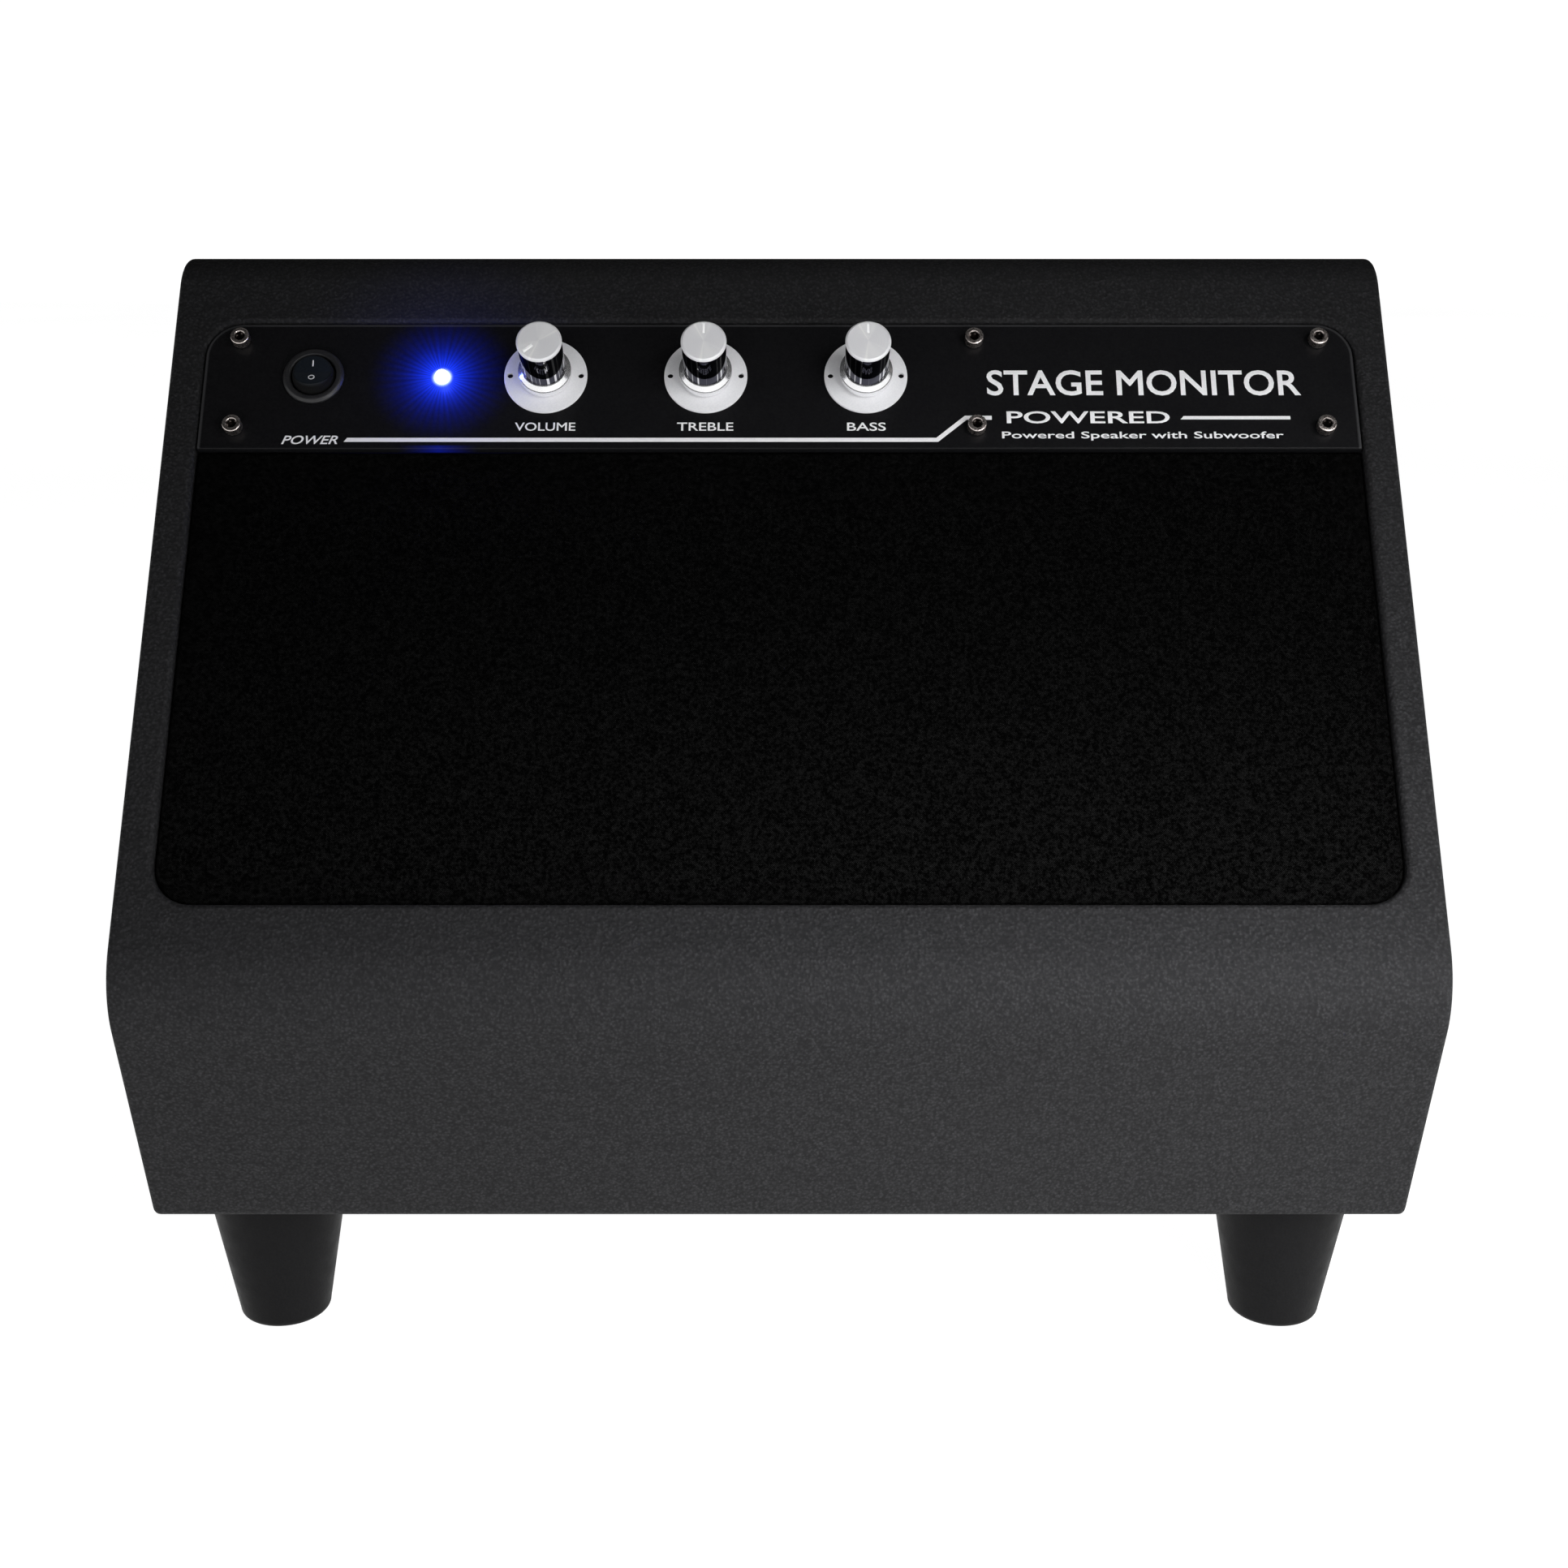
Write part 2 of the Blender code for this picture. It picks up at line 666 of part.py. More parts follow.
def make_scale_disc(name, x):
    chamfer = 0.0003
    profile = (
        (SCALE_DISC_RADIUS - chamfer, SCALE_DISC_HIGH),
        (SCALE_DISC_RADIUS, SCALE_DISC_HIGH - chamfer),
        (SCALE_DISC_RADIUS, SCALE_DISC_LOW),
        (BUSHING_HOLE, SCALE_DISC_LOW),
        (BUSHING_HOLE, SCALE_DISC_HIGH),
    )
    disc = turned(
        f"{name}_scale_disc",
        profile,
        SPUN_ALUMINIUM,
        24,
        closed=True,
        parent=FACE,
        location=(x, CONTROL_ROW, 0),
    )
    for side, way in (("left", -1), ("right", 1)):
        pip = cylinder(
            f"{name}_pip_{side}",
            0.00085,
            -0.005,
            0.005,
            segments=8,
            parent=FACE,
            location=(x + way * SCALE_PIP_REACH, CONTROL_ROW, 0),
            cutter=True,
        )
        cut(disc, pip)


def make_potentiometer(name, x):
    """Body behind the plate, with the threaded bushing and its nut in front, and a bore for the shaft."""
    front = PLATE_FRONT
    back = PLATE_FRONT - PLATE_THICKNESS - GAP
    bore = SHAFT_RADIUS + 0.0001
    profile = (
        (0, -0.0080),
        (bore, -0.0080),
        (bore, front + 0.0050),
        (0.0036, front + 0.0050),
        (0.0036, front + 0.0036),
        (0.0055, front + 0.0036),
        (0.0055, front + 0.0016),
        (0.0036, front + 0.0016),
        (0.0036, back),
        (0.0082, back),
        (0.0082, BOARD_FRONT + GAP),
        (0, BOARD_FRONT + GAP),
    )
    turned(f"{name}_potentiometer", profile, STEEL, 16, parent=FACE, location=(x, CONTROL_ROW, 0))


def make_knob(name, x, angle):
    """Shaft, chromed body and spun cap, all turning about one axis square to the face."""
    front = PLATE_FRONT
    axis = empty(f"{name}_axis", (x, CONTROL_ROW, 0), (0, 0, math.radians(angle)), FACE)
    cylinder(f"{name}_shaft", SHAFT_RADIUS, -0.0077, front + 0.0185, STEEL, 20, parent=axis)
    body = (
        (0, front + 0.0225),
        (0.0053, front + 0.0225),
        (0.0053, KNOB_HIGH),
        (0.0082, KNOB_HIGH),
        (0.0081, front + 0.0088),
        (0.0099, front + 0.0054),
        (0.0100, front + 0.0036),
        (0.0096, front + 0.0019),
        (0.0062, front + 0.0019),
        (0.0062, front + 0.0056),
        (SHAFT_RADIUS + GAP, front + 0.0056),
        (SHAFT_RADIUS + GAP, front + 0.0188),
        (0, front + 0.0188),
    )
    turned(f"{name}_knob", body, CHROME, 20, parent=axis)
    cap = (
        (0, CAP_HIGH),
        (0.0078, CAP_HIGH),
        (0.0084, CAP_HIGH - 0.0006),
        (0.0084, KNOB_HIGH + GAP),
        (0.0050, KNOB_HIGH + GAP),
        (0.0050, front + 0.0228),
        (0, front + 0.0228),
    )
    cap = turned(f"{name}_knob_cap", cap, SPUN_ALUMINIUM, 24, parent=axis)
    pointer = box(
        f"{name}_pointer",
        (0.0008, 0.0034, 0.0008),
        centre=(0, 0.0055, CAP_HIGH),
        parent=axis,
        cutter=True,
    )
    cut(cap, pointer)


def make_controls():
    make_plate()
    make_plate_screws()
    make_power_switch()
    make_led()
    for (name, x), angle in zip(knob_places(), POINTER_ANGLES):
        make_scale_disc(name, x)
        make_potentiometer(name, x)
        make_knob(name, x, angle)
    left, right = -0.136, 0.052
    box(
        "control_board",
        (right - left, CONTROL_SLOT_UP[1] - CONTROL_SLOT_UP[0] - 0.003, 0.0016),
        CIRCUIT_BOARD,
        centre=((left + right) / 2, sum(CONTROL_SLOT_UP) / 2, BOARD_FRONT - 0.0008),
        parent=FACE,
    )


# ---- loudspeakers -------------------------------------------------------------------------------
def make_driver(name, parent, location, size, segments):
    """A cone loudspeaker facing local +z, its frame's front at z = 0."""
    flange, opening, depth = size["flange"], size["opening"], size["depth"]
    magnet, thickness, coil = size["magnet"], size["thickness"], size["coil"]
    edge, roll = size["edge"], size["roll"]
    sheet = 0.0016
    flange_back = -0.0025
    seat = magnet - 0.006
    placing = {"parent": parent, "location": location}

    frame_profile = (
        (flange, 0),
        (flange, flange_back),
        (opening + sheet, flange_back),
        (seat + sheet, -depth),
        (coil + 0.0020, -depth),
        (coil + 0.0020, sheet - depth),
        (seat, sheet - depth),
        (opening, flange_back - 0.001),
        (opening, 0),
    )
    frame = turned(f"{name}_frame", frame_profile, BLACK_FRAME, segments, closed=True, **placing)
    for turn in (0, 90):
        window = box(
            f"{name}_window_{turn}",
            (2 * flange, opening * 0.75, depth * 0.5),
            centre=(0, 0, -depth * 0.56),
            rotation=(0, 0, math.radians(turn + 45)),
            cutter=True,
            **placing,
        )
        cut(frame, window)

    top = -depth - GAP
    groove = 0.0014
    magnet_profile = (
        (0, top),
        (coil - groove, top),
        (coil - groove, top - thickness * 0.7),
        (coil + groove, top - thickness * 0.7),
        (coil + groove, top),
        (magnet, top),
        (magnet, top - thickness),
        (0, top - thickness),
    )
    turned(f"{name}_magnet", magnet_profile, MAGNET, segments, **placing)

    half_former = 0.0004
    rim = edge - 0.0005
    throat = sheet - depth + size["throat"]
    cap_radius = coil * 1.35
    slope = (size["rim_z"] - throat) / (rim - coil)
    cap_low = throat + (cap_radius - coil) * slope
    cap_rise = cap_radius * 0.35
    cone_profile = (
        (0, cap_low + cap_rise),
        (cap_radius * 0.55, cap_low + cap_rise * 0.72),
        (cap_radius, cap_low),
        (rim, size["rim_z"]),
        (rim, size["rim_z"] - 0.0008),
        (coil + half_former, throat - 0.0012),
        (coil + half_former, top - thickness * 0.35),
        (coil - half_former, top - thickness * 0.35),
        (coil - half_former, cap_low - 0.0010),
        (0, cap_low - 0.0010 + cap_rise * 0.6),
    )
    turned(f"{name}_cone", cone_profile, PAPER_CONE, segments, **placing)

    centre = ((edge + opening) / 2, size["rim_z"])
    radius = (opening - edge) / 2 - GAP
    outer = arc(centre, radius, 180, 0, 4)
    inner = arc(centre, radius - 0.0008, 0, 180, 4)
    surround = [(x, centre[1] + (z - centre[1]) * roll) for x, z in [*outer, *inner]]
    turned(f"{name}_surround", surround, RUBBER, segments, closed=True, **placing)


FULL_RANGE = {
    "flange": 0.0520,
    "opening": 0.0460,
    "depth": 0.0340,
    "magnet": 0.0320,
    "thickness": 0.0140,
    "coil": 0.0100,
    "edge": 0.0385,
    "roll": 0.9,
    "rim_z": -0.0030,
    "throat": 0.0070,
}
SUBWOOFER = {
    "flange": 0.1030,
    "opening": 0.0895,
    "depth": 0.0620,
    "magnet": 0.0500,
    "thickness": 0.0220,
    "coil": 0.0190,
    "edge": 0.0765,
    "roll": 0.9,
    "rim_z": -0.0030,
    "throat": 0.0120,
}
SUBWOOFER_FRONT = 0.0015
GUARD_RISE = 0.0145


def make_loudspeakers():
    behind_baffle = -(SKIN + GAP + BOARD + GAP)
    for side, x in (("left", -DRIVER_X), ("right", DRIVER_X)):
        make_driver(f"{side}_driver", FACE, (x, DRIVER_UP, behind_baffle), FULL_RANGE, 20)
    make_driver("subwoofer", UNDERSIDE, (0, 0, SUBWOOFER_FRONT), SUBWOOFER, 24)
    make_subwoofer_guard()


def make_subwoofer_guard():
    """A dished steel guard over the subwoofer, open in long slots."""
    low = SUBWOOFER_FRONT + GAP
    sheet = 0.0012
    shoulder = 0.0955
    high = low + GUARD_RISE
    profile = (
        (0, high),
        (shoulder - 0.004, high),
        (shoulder, high - 0.004),
        (shoulder + 0.001, low + sheet),
        (0.1050, low + sheet),
        (0.1050, low),
        (shoulder - sheet, low),
        (shoulder - sheet, high - 0.005),
        (shoulder - 0.0045, high - sheet),
        (0, high - sheet),
    )
    guard = turned("subwoofer_guard", profile, BLACK_FRAME, 24, parent=UNDERSIDE)
    pitch = 0.022
    for i in range(-3, 4):
        half = math.sqrt(0.086**2 - (i * pitch) ** 2)
        slot = box(
            f"guard_slot_{i + 3}",
            (2 * half, 0.014, 0.010),
            centre=(0, i * pitch, high),
            parent=UNDERSIDE,
            cutter=True,
        )
        cut(guard, slot)


# ---- rear plate and electronics -----------------------------------------------------------------
PLATE_BACK = -SKIN
REAR_FRONT = 0.0005
STUD_PLACES = [(x, y) for x in (-0.088, 0.088) for y in (-0.055, 0.055)]
INLET_PLACE = (-0.055, -0.035)
INLET_DEPTH = 0.0220
JACK_PLACES = (("left", 0.030, 0.020), ("right", 0.062, 0.020))
AMPLIFIER_FRONT = -0.036


def make_rear_plate():
    half, up = (size / 2 - GAP for size in REAR_PLATE_SIZE)
    outline = rounded_rectangle(half, -up, up, 0.0055, 0.0055, 4)
    plate = extruded("rear_plate", outline, PLATE_BACK, REAR_FRONT, BLACK_FRAME, parent=REAR)
    for i, at in enumerate(STUD_PLACES):
        stud = cylinder(
            f"stud_{i}",
            0.003,
            AMPLIFIER_FRONT + GAP,
            PLATE_BACK + 0.0008,
            segments=10,
            centre=at,
            parent=REAR,
            cutter=True,
        )
        cut(plate, stud, operation="UNION")
    inlet_hole = box(
        "inlet_hole", (0.0285, 0.0215, 0.020), centre=(*INLET_PLACE, 0), parent=REAR, cutter=True
    )
    cut(plate, inlet_hole)
    for side, x, y in JACK_PLACES:
        hole = cylinder(
            f"jack_hole_{side}", 0.0048, -0.010, 0.010, segments=16, centre=(x, y), parent=REAR, cutter=True
        )
        cut(plate, hole)


def make_mains_inlet():
    """A flanged appliance inlet: a deep pocket for the plug, with two of its corners cut off."""
    face = REAR_FRONT + GAP
    front = REAR_STAND_OFF - 0.0002
    flange = rounded_rectangle(0.0250, -0.0115, 0.0115, 0.0110, 0.0110, 6)
    placing = {"parent": REAR, "location": (*INLET_PLACE, 0)}
    inlet = extruded("mains_inlet", flange, face, front, SWITCH_PLASTIC, **placing)
    body_high = face + 0.001
    body_size = (0.0278, 0.0208, INLET_DEPTH + body_high)
    body_centre = (0, 0, (body_high - INLET_DEPTH) / 2)
    body = box("inlet_body", body_size, centre=body_centre, cutter=True, **placing)
    cut(inlet, body, operation="UNION")
    half_x, half_y, corner = 0.0120, 0.0080, 0.0045
    outline = (
        (-half_x, -half_y),
        (half_x, -half_y),
        (half_x, half_y - corner),
        (half_x - corner, half_y),
        (corner - half_x, half_y),
        (-half_x, half_y - corner),
    )
    pocket = extruded("inlet_pocket", outline, -0.0150, 0.0100, cutter=True, **placing)
    cut(inlet, pocket)


def make_jacks():
    """Quarter-inch line input sockets, each with its nut outside and its body behind the plate."""
    bore = 0.0033
    for side, x, y in JACK_PLACES:
        placing = {"parent": REAR, "location": (x, y, 0)}
        nut = cylinder(
            f"{side}_input_jack", 0.0070, REAR_FRONT + GAP, REAR_STAND_OFF, STEEL, 6, **placing
        )
        barrel_front = REAR_STAND_OFF - 0.0005
        barrel = cylinder(
            f"{side}_jack_barrel", 0.0045, -0.0100, barrel_front, segments=16, cutter=True, **placing
        )
        body = box(
            f"{side}_jack_body",
            (0.0150, 0.0200, 0.0260),
            centre=(0, -0.002, PLATE_BACK - 0.0006 - 0.0130),
            cutter=True,
            **placing,
        )
        hole = cylinder(f"{side}_jack_bore", bore, -0.0240, 0.0100, segments=16, cutter=True, **placing)
        cut(nut, barrel, body, operation="UNION")
        cut(nut, hole)


def make_electronics():
    box(
        "amplifier_board",
        (0.186, 0.118, 0.0016),
        CIRCUIT_BOARD,
        centre=(0, 0, AMPLIFIER_FRONT - 0.0008),
        parent=REAR,
    )
    base_front = AMPLIFIER_FRONT - 0.0016 - GAP
    base = 0.004
    sink = box(
        "heatsink",
        (0.140, 0.060, base),
        SPUN_ALUMINIUM,
        centre=(0, 0.010, base_front - base / 2),
        parent=REAR,
    )
    for i in range(6):
        fin = box(
            f"fin_{i}",
            (0.002, 0.060, 0.018),
            centre=(-0.069 + i * 0.138 / 5, 0.010, base_front - base + 0.001 - 0.009),
            parent=REAR,
            cutter=True,
        )
        cut(sink, fin, operation="UNION")
    floor = LEG_HEIGHT + SKIN + GAP + BOARD + GAP
    outer, inner, height, soft = 0.042, 0.013, 0.036, 0.008
    rim = arc((outer - soft, floor + height - soft), soft, 90, 0, 3)
    foot = arc((outer - soft, floor + soft), soft, 0, -90, 3)
    profile = [(inner, floor + height), *rim, *foot, (inner, floor)]
    turned("transformer", profile, COPPER, 24, closed=True, location=(0.165, KNEE_Y + 0.235, 0))


make_covering()
make_boards()
make_legs()
make_grille()
make_controls()
make_loudspeakers()
make_rear_plate()
make_mains_inlet()
make_jacks()
make_electronics()
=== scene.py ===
"""The looks of the powered stage monitor wedge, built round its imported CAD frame.

Metres, in the frame's own axes: +Z up, X to the right seen from the front, -Y the front. Most
pieces are made in the axes of a panel that carries them, which read as (across, up, out).
Profiles are listed in millimetres, and mm() turns them into metres.
"""

import math

import bmesh
import bpy
from mathutils import Matrix, Vector


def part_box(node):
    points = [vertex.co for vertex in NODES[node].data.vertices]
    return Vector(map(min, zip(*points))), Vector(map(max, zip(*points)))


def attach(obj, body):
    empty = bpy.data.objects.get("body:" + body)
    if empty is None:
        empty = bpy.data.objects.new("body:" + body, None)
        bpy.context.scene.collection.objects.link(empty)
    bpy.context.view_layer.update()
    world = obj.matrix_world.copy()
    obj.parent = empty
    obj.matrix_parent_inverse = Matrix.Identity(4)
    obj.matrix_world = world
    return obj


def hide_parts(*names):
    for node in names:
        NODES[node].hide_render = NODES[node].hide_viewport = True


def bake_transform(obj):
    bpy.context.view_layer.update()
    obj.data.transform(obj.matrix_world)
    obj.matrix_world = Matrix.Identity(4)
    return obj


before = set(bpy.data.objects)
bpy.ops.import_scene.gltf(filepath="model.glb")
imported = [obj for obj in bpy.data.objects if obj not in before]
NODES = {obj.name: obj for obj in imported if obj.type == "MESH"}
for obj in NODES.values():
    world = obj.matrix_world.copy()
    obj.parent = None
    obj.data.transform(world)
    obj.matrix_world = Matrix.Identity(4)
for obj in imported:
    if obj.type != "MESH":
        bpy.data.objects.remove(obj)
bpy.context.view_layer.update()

# ---- driving dimensions, the same as the CAD's ----
WIDTH = 0.460
DEPTH = 0.300
HEIGHT = 0.397
LEG_HEIGHT = 0.059
FACE_ANGLE = math.radians(55)
TOP_FALL = math.radians(3)
KNEE_HEIGHT = 0.159
CHIN_SETBACK = 0.035
KNEE_RADIUS = 0.034
BROW_RADIUS = 0.020
CORNER_RADIUS = 0.005
EDGE_RADIUS = 0.0025
REAR_STAND_OFF = 0.004
SKIN = 0.001
GAP = 0.0003

RECESS_HALF_WIDTH = 0.2174
RECESS_RADIUS = 0.0144
GRILLE_LOW = 0.0330
PLATE_LOW = 0.2090
PLATE_HIGH = 0.2628
PLATE_POCKET_DEPTH = 0.0038
GRILLE_POCKET_DEPTH = 0.0073
LIP_RADIUS = 0.0022

DRIVER_X = 0.110
DRIVER_UP = 0.121
SUBWOOFER_SETBACK = 0.175
SUBWOOFER_OPENING = 0.1065
REAR_PLATE_HEIGHT = 0.235
REAR_PLATE_SIZE = (0.220, 0.150)

# ---- dimensions of the visible pieces alone ----
CLOTH_FRONT = -0.0025
CLOTH_THICKNESS = 0.0006
CLOTH_CLEARANCE = 0.0004
PRINT_THICKNESS = 0.00005
PRINT_LIFT = 0.00001
SUBWOOFER_SEAT = 0.0015
PAN_HEAD = 0.0028
POINTER_ANGLES = {"volume": 130, "treble": 0, "bass": 0}

KNOBS = ("volume", "treble", "bass")
SCREWS = [f"plate_screw_{i}" for i in range(1, 7)]
WALL_LIGHT = 1.1
CEILING_LIGHT = 0.03
TINY = 1e-7


# ---- outlines ----
def mm(points, out=0.0):
    """Points in millimetres as metres, with out added to the second of each pair."""
    return [(a / 1000, out + b / 1000) for a, b in points]


def arc(centre, radius, start, end, segments):
    """Points on an arc, from one angle in degrees to another."""
    step = (end - start) / segments
    angles = [math.radians(start + step * i) for i in range(segments + 1)]
    return [(centre[0] + radius * math.cos(a), centre[1] + radius * math.sin(a)) for a in angles]


def quarter(steps):
    """The sine and cosine of equal steps from 0 to 90 degrees."""
    turns = [math.pi / 2 * k / steps for k in range(steps + 1)]
    return [(math.sin(turn), math.cos(turn)) for turn in turns]


def hexagon(radius):
    turns = [math.pi / 3 * k for k in range(6)]
    return [(radius * math.cos(turn), radius * math.sin(turn)) for turn in turns]


def disc_profile(radius, low, high):
    return [(0, high), (radius, high), (radius, low), (0, low)]


def rounded_rectangle(half_width, low, high, low_radius, high_radius=None, segments=10):
    """An outline across x, from low to high in y, with a radius for each pair of corners."""
    if high_radius is None:
        high_radius = low_radius
    outline = []
    corners = (
        (half_width, low, low_radius, -90, 1, 1),
        (half_width, high, high_radius, 0, 1, -1),
        (-half_width, high, high_radius, 90, -1, -1),
        (-half_width, low, low_radius, 180, -1, 1),
    )
    for x, y, radius, angle, side, way in corners:
        if radius <= 0:
            outline.append((x, y))
            continue
        centre = (x - side * radius, y + way * radius)
        outline += arc(centre, radius, angle, angle + 90, segments)
    return outline


def recess_outline(grow, high, high_radius=None):
    """The recess's outline with its sides and foot moved outwards, up to a height on the face."""
    half, low, radius = RECESS_HALF_WIDTH + grow, GRILLE_LOW - grow, RECESS_RADIUS + grow
    return rounded_rectangle(half, low, high, radius, high_radius)


def nose_offset():
    """How far behind the knee's sharp corner the rounded knee's foremost point lies."""
    to_chin = Vector((CHIN_SETBACK, LEG_HEIGHT - KNEE_HEIGHT)).normalized()
    to_brow = Vector((math.cos(FACE_ANGLE), math.sin(FACE_ANGLE)))
    half_angle = to_chin.angle(to_brow) / 2
    centre = (to_chin + to_brow).normalized() * KNEE_RADIUS / math.sin(half_angle)
    return centre.x - KNEE_RADIUS


def brow_rise():
    """How far the brow's sharp corner stands above the highest point of its round."""
    tangent = math.tan((FACE_ANGLE + TOP_FALL) / 2)
    return BROW_RADIUS * (tangent * math.sin(TOP_FALL) + math.cos(TOP_FALL) - 1)


KNEE_Y = -DEPTH / 2 - nose_offset()
BACK_Y = DEPTH / 2 - REAR_STAND_OFF
BROW_HEIGHT = HEIGHT + brow_rise()
BROW_Y = KNEE_Y + (BROW_HEIGHT - KNEE_HEIGHT) / math.tan(FACE_ANGLE)
# The top falls a little towards the back.
BACK_HEIGHT = BROW_HEIGHT - (BACK_Y - BROW_Y) * math.tan(TOP_FALL)
# Each corner of the side view: y, z, radius, and how many flats its round has.
CORNERS = (
    (KNEE_Y + CHIN_SETBACK, LEG_HEIGHT, CORNER_RADIUS, 6),
    (BACK_Y, LEG_HEIGHT, CORNER_RADIUS, 6),
    (BACK_Y, BACK_HEIGHT, CORNER_RADIUS, 6),
    (BROW_Y, BROW_HEIGHT, BROW_RADIUS, 16),
    (KNEE_Y, KNEE_HEIGHT, KNEE_RADIUS, 20),
)

# The axes of the panels that carry most pieces.
UPRIGHT = Matrix.Rotation(math.pi / 2, 4, "X")
FACE = Matrix.Translation((0, KNEE_Y, KNEE_HEIGHT)) @ Matrix.Rotation(FACE_ANGLE, 4, "X")
REAR = Matrix.Translation((0, BACK_Y, REAR_PLATE_HEIGHT)) @ Matrix.Rotation(math.pi, 4, "Z") @ UPRIGHT
UNDERSIDE = Matrix.Translation((0, KNEE_Y + SUBWOOFER_SETBACK, LEG_HEIGHT)) @ Matrix.Rotation(
    math.pi, 4, "X"
)
SUBWOOFER = UNDERSIDE @ Matrix.Translation((0, 0, SUBWOOFER_SEAT))


def side_view(inset):
    """The cabinet's outline in (y, z), with every side moved inwards by inset."""
    count = len(CORNERS)
    points = [Vector(corner[:2]) for corner in CORNERS]
    alongs = [(points[(i + 1) % count] - points[i]).normalized() for i in range(count)]
    starts = [points[i] + Vector((-alongs[i].y, alongs[i].x)) * inset for i in range(count)]
    sharp = []
    for i in range(count):
        reach = (starts[i] - starts[i - 1]).cross(alongs[i]) / alongs[i - 1].cross(alongs[i])
        sharp.append(starts[i - 1] + alongs[i - 1] * reach)
    outline = []
    for i, (_, _, full_radius, segments) in enumerate(CORNERS):
        radius = full_radius - inset
        back = (sharp[i - 1] - sharp[i]).normalized()
        on = (sharp[(i + 1) % count] - sharp[i]).normalized()
        half_angle = back.angle(on) / 2
        centre = sharp[i] + (back + on).normalized() * radius / math.sin(half_angle)
        start = sharp[i] + back * radius / math.tan(half_angle) - centre
        first = math.degrees(math.atan2(start.y, start.x))
        outline += arc(centre, radius, first, first + 180 - 2 * math.degrees(half_angle), segments)
    return outline


def fillet(points, radius, segments=3, closed=False):
    """Rounds the inner corners of a line of points, each by at most a third of its shorter side."""
    rounded = []
    count = len(points)
    for i, point in enumerate(points):
        here = Vector(point)
        back = Vector(points[i - 1]) - here
        on = Vector(points[(i + 1) % count]) - here
        end_point = not closed and i in (0, count - 1)
        if end_point or min(back.length, on.length) < TINY or back.angle(on) > math.radians(174):
            rounded.append(tuple(here))
            continue
        reach = min(radius, back.length / 3, on.length / 3)
        start, end = here + back.normalized() * reach, here + on.normalized() * reach
        for k in range(segments + 1):
            t = k / segments
            rounded.append(tuple(start * (1 - t) ** 2 + here * 2 * t * (1 - t) + end * t**2))
    return rounded


def shrunk(outline, inset):
    """The outline, which runs anticlockwise, with each side moved inwards."""
    moved = []
    for i, point in enumerate(outline):
        here = Vector(point)
        before = (here - Vector(outline[i - 1])).normalized()
        after = (Vector(outline[(i + 1) % len(outline)]) - here).normalized()
        normal = Vector((-(before + after).y, (before + after).x)).normalized()
        lean = max(0.3, normal.dot(Vector((-before.y, before.x))))
        moved.append(tuple(here + normal * inset / lean))
    return moved


# ---- mesh helpers ----
def smooth(mesh, angle=30):
    """Smooth shading, but for edges sharper than an angle in degrees."""
    mesh.shade_smooth()
    mesh.set_sharp_from_angle(angle=math.radians(angle))


def add(name, data, place=None):
    obj = bpy.data.objects.new(name, data)
    bpy.context.scene.collection.objects.link(obj)
    obj.matrix_world = place or Matrix.Identity(4)
    return obj


def to_object(name, bm, place=None):
    """An object of this mesh at its place, smooth but for its sharp edges."""
    bmesh.ops.recalc_face_normals(bm, faces=bm.faces)
    mesh = bpy.data.meshes.new(name)
    bm.to_mesh(mesh)
    bm.free()
    smooth(mesh)
    return add(name, mesh, place)


def apply_modifiers(obj, angle=30):
    graph = bpy.context.evaluated_depsgraph_get()
    mesh = bpy.data.meshes.new_from_object(obj.evaluated_get(graph))
    obj.modifiers.clear()
    obj.data = mesh
    smooth(mesh, angle)


def loft(name, rings, place=None, caps=(True, True)):
    """A skin over rings of as many points each, with a flat cap at either end."""
    bm = bmesh.new()
    rows = [[bm.verts.new(point) for point in ring] for ring in rings]
    count = len(rows[0])
    for low, high in zip(rows, rows[1:]):
        for i in range(count):
            j = (i + 1) % count
            bm.faces.new((low[i], low[j], high[j], high[i]))
    for row, capped in zip((rows[0], rows[-1]), caps):
        if capped:
            bm.faces.new(row)
    return to_object(name, bm, place)


def prism(name, outline, low, high, place=None, round_over=0.0, steps=3):
    """An outline in x and y from low to high in z, its upper edge rounded over."""
    rings = [[(x, y, low) for x, y in outline]]
    if not round_over:
        rings.append([(x, y, high) for x, y in outline])
        return loft(name, rings, place)
    inner = shrunk(outline, round_over)
    for sine, cosine in quarter(steps):
        share, z = 1 - cosine, high - round_over * (1 - sine)
        pairs = zip(outline, inner)
        rings.append([(x + (a - x) * share, y + (b - y) * share, z) for (x, y), (a, b) in pairs])
    return loft(name, rings, place)


def turned(name, profile, place=None, segments=64, closed=False):
    """A turned piece: the profile's (radius, height) points run down its outer side."""
    bm = bmesh.new()
    turns = [2 * math.pi * i / segments for i in range(segments)]
    rings = []
    for radius, height in profile:
        if radius < TINY:
            rings.append([bm.verts.new((0, 0, height))])
            continue
        rings.append([bm.verts.new((radius * math.cos(a), radius * math.sin(a), height)) for a in turns])
    if closed:
        rings.append(rings[0])
    for upper, lower in zip(rings, rings[1:]):
        if len(upper) == 1 and len(lower) == 1:
            continue
        for i in range(segments):
            j = (i + 1) % segments
            corners = [ring[k % len(ring)] for ring, k in ((upper, i), (lower, i), (lower, j), (upper, j))]
            bm.faces.new([corner for k, corner in enumerate(corners) if corner is not corners[k - 1]])
    return to_object(name, bm, place)


